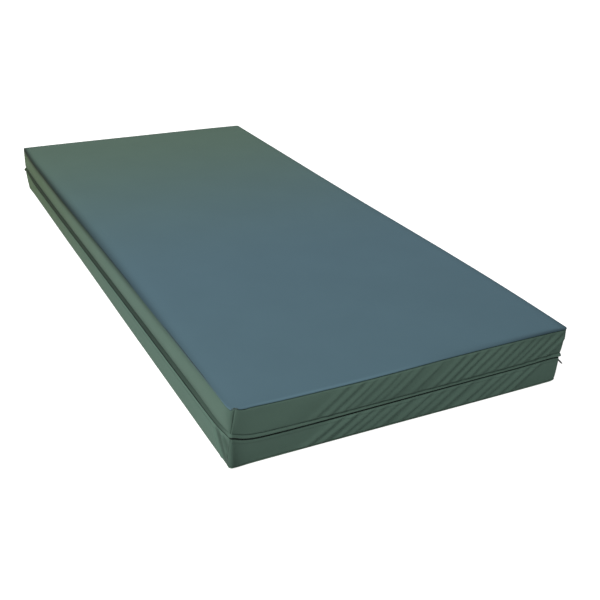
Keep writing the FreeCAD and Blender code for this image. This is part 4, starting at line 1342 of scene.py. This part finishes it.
for half, body, length, bottom, top, swell in (
    ("lower", "cover_base", 0.115, lambda d: base_seam_height(d) + 0.009,
     lambda d: lower_edge_height(d) - 0.017, lower_swell),
    ("upper", "cover_top", 0.205, lambda d: stitch_height(d) + 0.007,
     lambda d: top_seam_height(d) - 0.016, upper_swell),
):
    plies = corner_plies(f"{half}_corner_plies", bottom, top, swell)
    plies.data.materials.append(allowance_cloth)
    flat, neighbour = (length, PLY_FLAT_WIDTH), f"{half}_border_cloth_left"
    dress_cloth(plies, body, f"{half}_corner_seams", flat, neighbour)


# ---------------------------------------------------------------------------------------------
# Zip: two woven tapes with a moulded coil of nylon teeth on each, sewn in behind the flap. The
# coils mesh along the front, back and left; on the right, where the slider runs, they part.

TAPE_COLOUR = (0.009, 0.014, 0.012, 1)
TEETH_COLOUR = (0.006, 0.008, 0.007, 1)
TAPE_THICKNESS = 0.0006
TAPE_WIDTH = 0.0162
LOWER_TAPE_HEIGHT = 0.0152
TOOTH_PITCH = 0.0026
TOOTH_ROOT = 0.0045
TOOTH_HOLD = 0.0009
TOOTH_PART = 0.0011
ZIP_SETBACK = 0.0009
SLIDER_PARKS = ((FRONT_RIGHT, 0.016, 0.032), (BACK_RIGHT, 0.032, 0.009))

zip_inset = half_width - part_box("lower_zip_teeth")[1].x + ZIP_SETBACK


def zip_offset(distance):
    """Where the teeth stand, outward of the rim: they follow both covers' edges, and stand
    further in at the two tight corners."""
    right = 0.0045 * bell(past(distance, FRONT_RIGHT), 0.016)
    left = 0.0050 * bell(past(distance, BACK_LEFT), 0.024)
    return left_bow(distance) - zip_inset - right - left


def lower_tape_section(distance):
    """The lower tape: from behind the hem up to its teeth."""
    high, offset = zip_height(distance) - TOOTH_ROOT + 0.0006, zip_offset(distance)
    low = high - LOWER_TAPE_HEIGHT
    return strap_section((offset, offset - 0.0012), low, high, TAPE_THICKNESS)


def upper_tape_section(distance):
    """The upper tape: from its teeth up behind the flap and the hem."""
    low, offset = zip_height(distance) + TOOTH_ROOT - 0.0006, zip_offset(distance)
    high = stitch_height(distance) + 0.0075
    return strap_section((offset - 0.0014, offset), low, high, TAPE_THICKNESS)


def row_of_bars(name, centre, axis, side, out, rings):
    """Many small four-sided bars as one mesh. Each ring has a place along the axis, a half
    width, a half depth and a lift outward; side, out and axis are a right-handed set."""
    corners = ((-1, -1), (1, -1), (1, 1), (-1, 1))
    points = [
        centre + axis * along + side * (s * width) + out * (o * depth + lift)
        for along, width, depth, lift in rings for s, o in corners
    ]
    points = np.stack(points, 1)
    count = len(rings) * 4
    bar = np.concatenate([band_faces(len(rings), 4), [(3, 2, 1, 0)], [np.arange(count - 4, count)]])
    quads = (np.arange(len(centre))[:, None, None] * count + bar).reshape(-1, 4)
    return make_piece(name, points.reshape(-1, 3), quads)


def teeth_row(name, way, start):
    """One coil's teeth, every pitch round the rim but for the two places where the slider
    parks. way is 1 for the upper row, whose teeth point down, and -1 for the lower one."""
    distance = np.arange(start, LAP_LENGTH, TOOTH_PITCH)
    for corner, before, after in SLIDER_PARKS:
        gap = past(distance, corner)
        distance = distance[(gap < -before) | (gap > after)]
    edge, normal, heading = rim_frames(distance)
    parted = (distance > FRONT_RIGHT - 0.02) & (distance < BACK_RIGHT + 0.02)
    tip = np.where(parted, TOOTH_PART, -TOOTH_HOLD)
    centre = edge + normal * zip_offset(distance)[:, None]
    centre[:, 2] = zip_height(distance) + way * (TOOTH_ROOT + tip) / 2
    half = (TOOTH_ROOT - tip)[:, None] / 2
    up = np.array([0, 0, 1.0]) * half * way
    rings = (
        (-1, 0.0004, 0.0006, 0), (-0.7, 0.00062, 0.00085, 0), (0.3, 0.00056, 0.00085, 0),
        (1, 0.0004, 0.0005, 0),
    )
    return row_of_bars(name, centre, up, heading * -way, normal, rings)


def hard_group():
    """Moulded plastic or cast metal: faint clouding, and a gloss worn by handling."""
    group, outside, inside = new_group("handled_surface", [("Colour", "Color"), ("Gloss", "Float")], SURFACE)
    place = group.nodes.new("ShaderNodeTexCoord").outputs["Object"]
    wear = add_texture(group, "ShaderNodeTexNoise", place, Scale=420, Detail=4).outputs["Fac"]
    grain = add_texture(group, "ShaderNodeTexNoise", place, Scale=2600, Detail=2).outputs["Fac"]
    shade = math_node(group, "MULTIPLY_ADD", wear, 0.5, 0.75)
    group.links.new(add_tint(group, outside["Colour"], shade), inside["Colour"])
    group.links.new(math_node(group, "MULTIPLY_ADD", wear, 0.25, outside["Gloss"]), inside["Roughness"])
    group.links.new(grain, inside["Height"])
    return group


handled_surface = hard_group()


def hard_material(name, colour, gloss, metallic=0.0, bump=0.02):
    """Plastic or metal of one colour, from the handled surface group."""
    settings = {"Colour": colour, "Gloss": gloss}
    shading = {"Metallic": metallic, "Specular IOR Level": 0.12}
    return group_material(name, handled_surface, bump, 0.4, settings, shading)


zip_tape = cloth_material(
    "zip_tape", TAPE_COLOUR, clouding=0.3, rough=0.8, loop=0.0009, bump=0.2, specular=0.1
)
zip_teeth = hard_material("zip_teeth", TEETH_COLOUR, 0.35)
for half, body, section in (
    ("lower", "cover_base", lower_tape_section), ("upper", "cover_top", upper_tape_section),
):
    tape = swept_band(f"{half}_woven_tape", hidden_lap, section)
    tape.data.materials.append(zip_tape)
    flat, neighbour = (SEAM_ROUND, TAPE_WIDTH), f"{half}_hem_fold"
    dress_cloth(tape, body, f"{half}_zip_tape", flat, neighbour)

for half, body, way, start in (("lower", "cover_base", -1, TOOTH_PITCH / 2), ("upper", "cover_top", 1, 0.0)):
    teeth = teeth_row(f"{half}_coil_teeth", way, start)
    teeth.data.materials.append(zip_teeth)
    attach(teeth, body)
    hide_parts(f"{half}_zip_teeth")


# ---------------------------------------------------------------------------------------------
# Zip fittings: end stops crimped on the tapes, the insertion pin and its box, the die-cast
# slider, and the pull, a wire link with a moulded tab. All are dark, and stay as they are built.

METAL_COLOUR = (0.012, 0.013, 0.013, 1)
TAB_COLOUR = (0.005, 0.006, 0.006, 1)
FITTING_COLOUR = (0.016, 0.021, 0.019, 1)

zip_metal = hard_material("zip_metal", METAL_COLOUR, 0.45, metallic=0.3)
pull_plastic = hard_material("pull_plastic", TAB_COLOUR, 0.6)
fitting_plastic = hard_material("fitting_plastic", FITTING_COLOUR, 0.4)
for node, material in (
    ("upper_zip_stop", zip_metal), ("lower_zip_stop", zip_metal), ("zip_insertion_pin", fitting_plastic),
    ("zip_retainer_box", fitting_plastic), ("zip_slider", zip_metal), ("pull_link", zip_metal),
    ("pull_tab", pull_plastic),
):
    mesh = bpy.data.objects[node].data
    mesh.materials.clear()
    mesh.materials.append(material)


# ---------------------------------------------------------------------------------------------
# Stitches: rows of polyester lockstitch in the cloth's colour. One holds flap, hem and tape to
# the upper border, the other holds the lower border's hem and tape.

THREAD_COLOUR = (0.070, 0.112, 0.093, 1)
STITCH_PITCH = 0.0042
STITCH_LENGTH = 0.0032
THREAD_RADIUS = 0.00032
STITCH_SINK = 0.0020


def stitch_row(name, height, offset):
    """Stitches every pitch round the rim, each thick in the middle and sunk at both ends."""
    distance = np.arange(0.003, LAP_LENGTH - 0.002, STITCH_PITCH)
    edge, normal, heading = rim_frames(distance)
    centre = edge + normal * offset(distance)[:, None]
    centre[:, 2] = height(distance)
    half, r = STITCH_LENGTH / 2, THREAD_RADIUS
    rings = [(along, r, r, 0) for along in (-half * 0.55, half * 0.55)]
    rings = [(-half, r * 0.5, r * 0.5, -r * 1.2), *rings, (half, r * 0.5, r * 0.5, -r * 1.2)]
    return row_of_bars(name, centre, heading, np.array([0, 0, 1.0]), normal, rings)


def share_place(low, high, swell, extra, share):
    """The height and the offset round the rim of a line drawn on a border strip."""

    def height(distance):
        """The line's height: its share of the way from the strip's lower edge to its upper."""
        return low(distance) + (high(distance) - low(distance)) * share

    def offset(distance):
        """The strip's own place and relief there, less the upright seams' groove."""
        relief = extra(distance, height(distance)) * edge_fade(share, EDGE_MARGIN)
        line = swell(distance, np.full(len(distance), share)) - STITCH_SINK * corner_groove(distance)
        return line + relief + THREAD_RADIUS * 0.5

    return height, offset


thread = hard_material("thread", THREAD_COLOUR, 0.6, bump=0.05)
upper_strip = (stitch_height, top_seam_height, upper_swell, upper_extra)
lower_strip = (base_seam_height, lower_edge_height, lower_swell, lower_extra)
for name, body, strip_lines, share in (
    ("flap_stitches", "cover_top", upper_strip, 0.055),
    ("lower_hem_stitches", "cover_base", lower_strip, 0.87),
):
    stitches = stitch_row(name, *share_place(*strip_lines, share))
    stitches.data.materials.append(thread)
    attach(stitches, body)
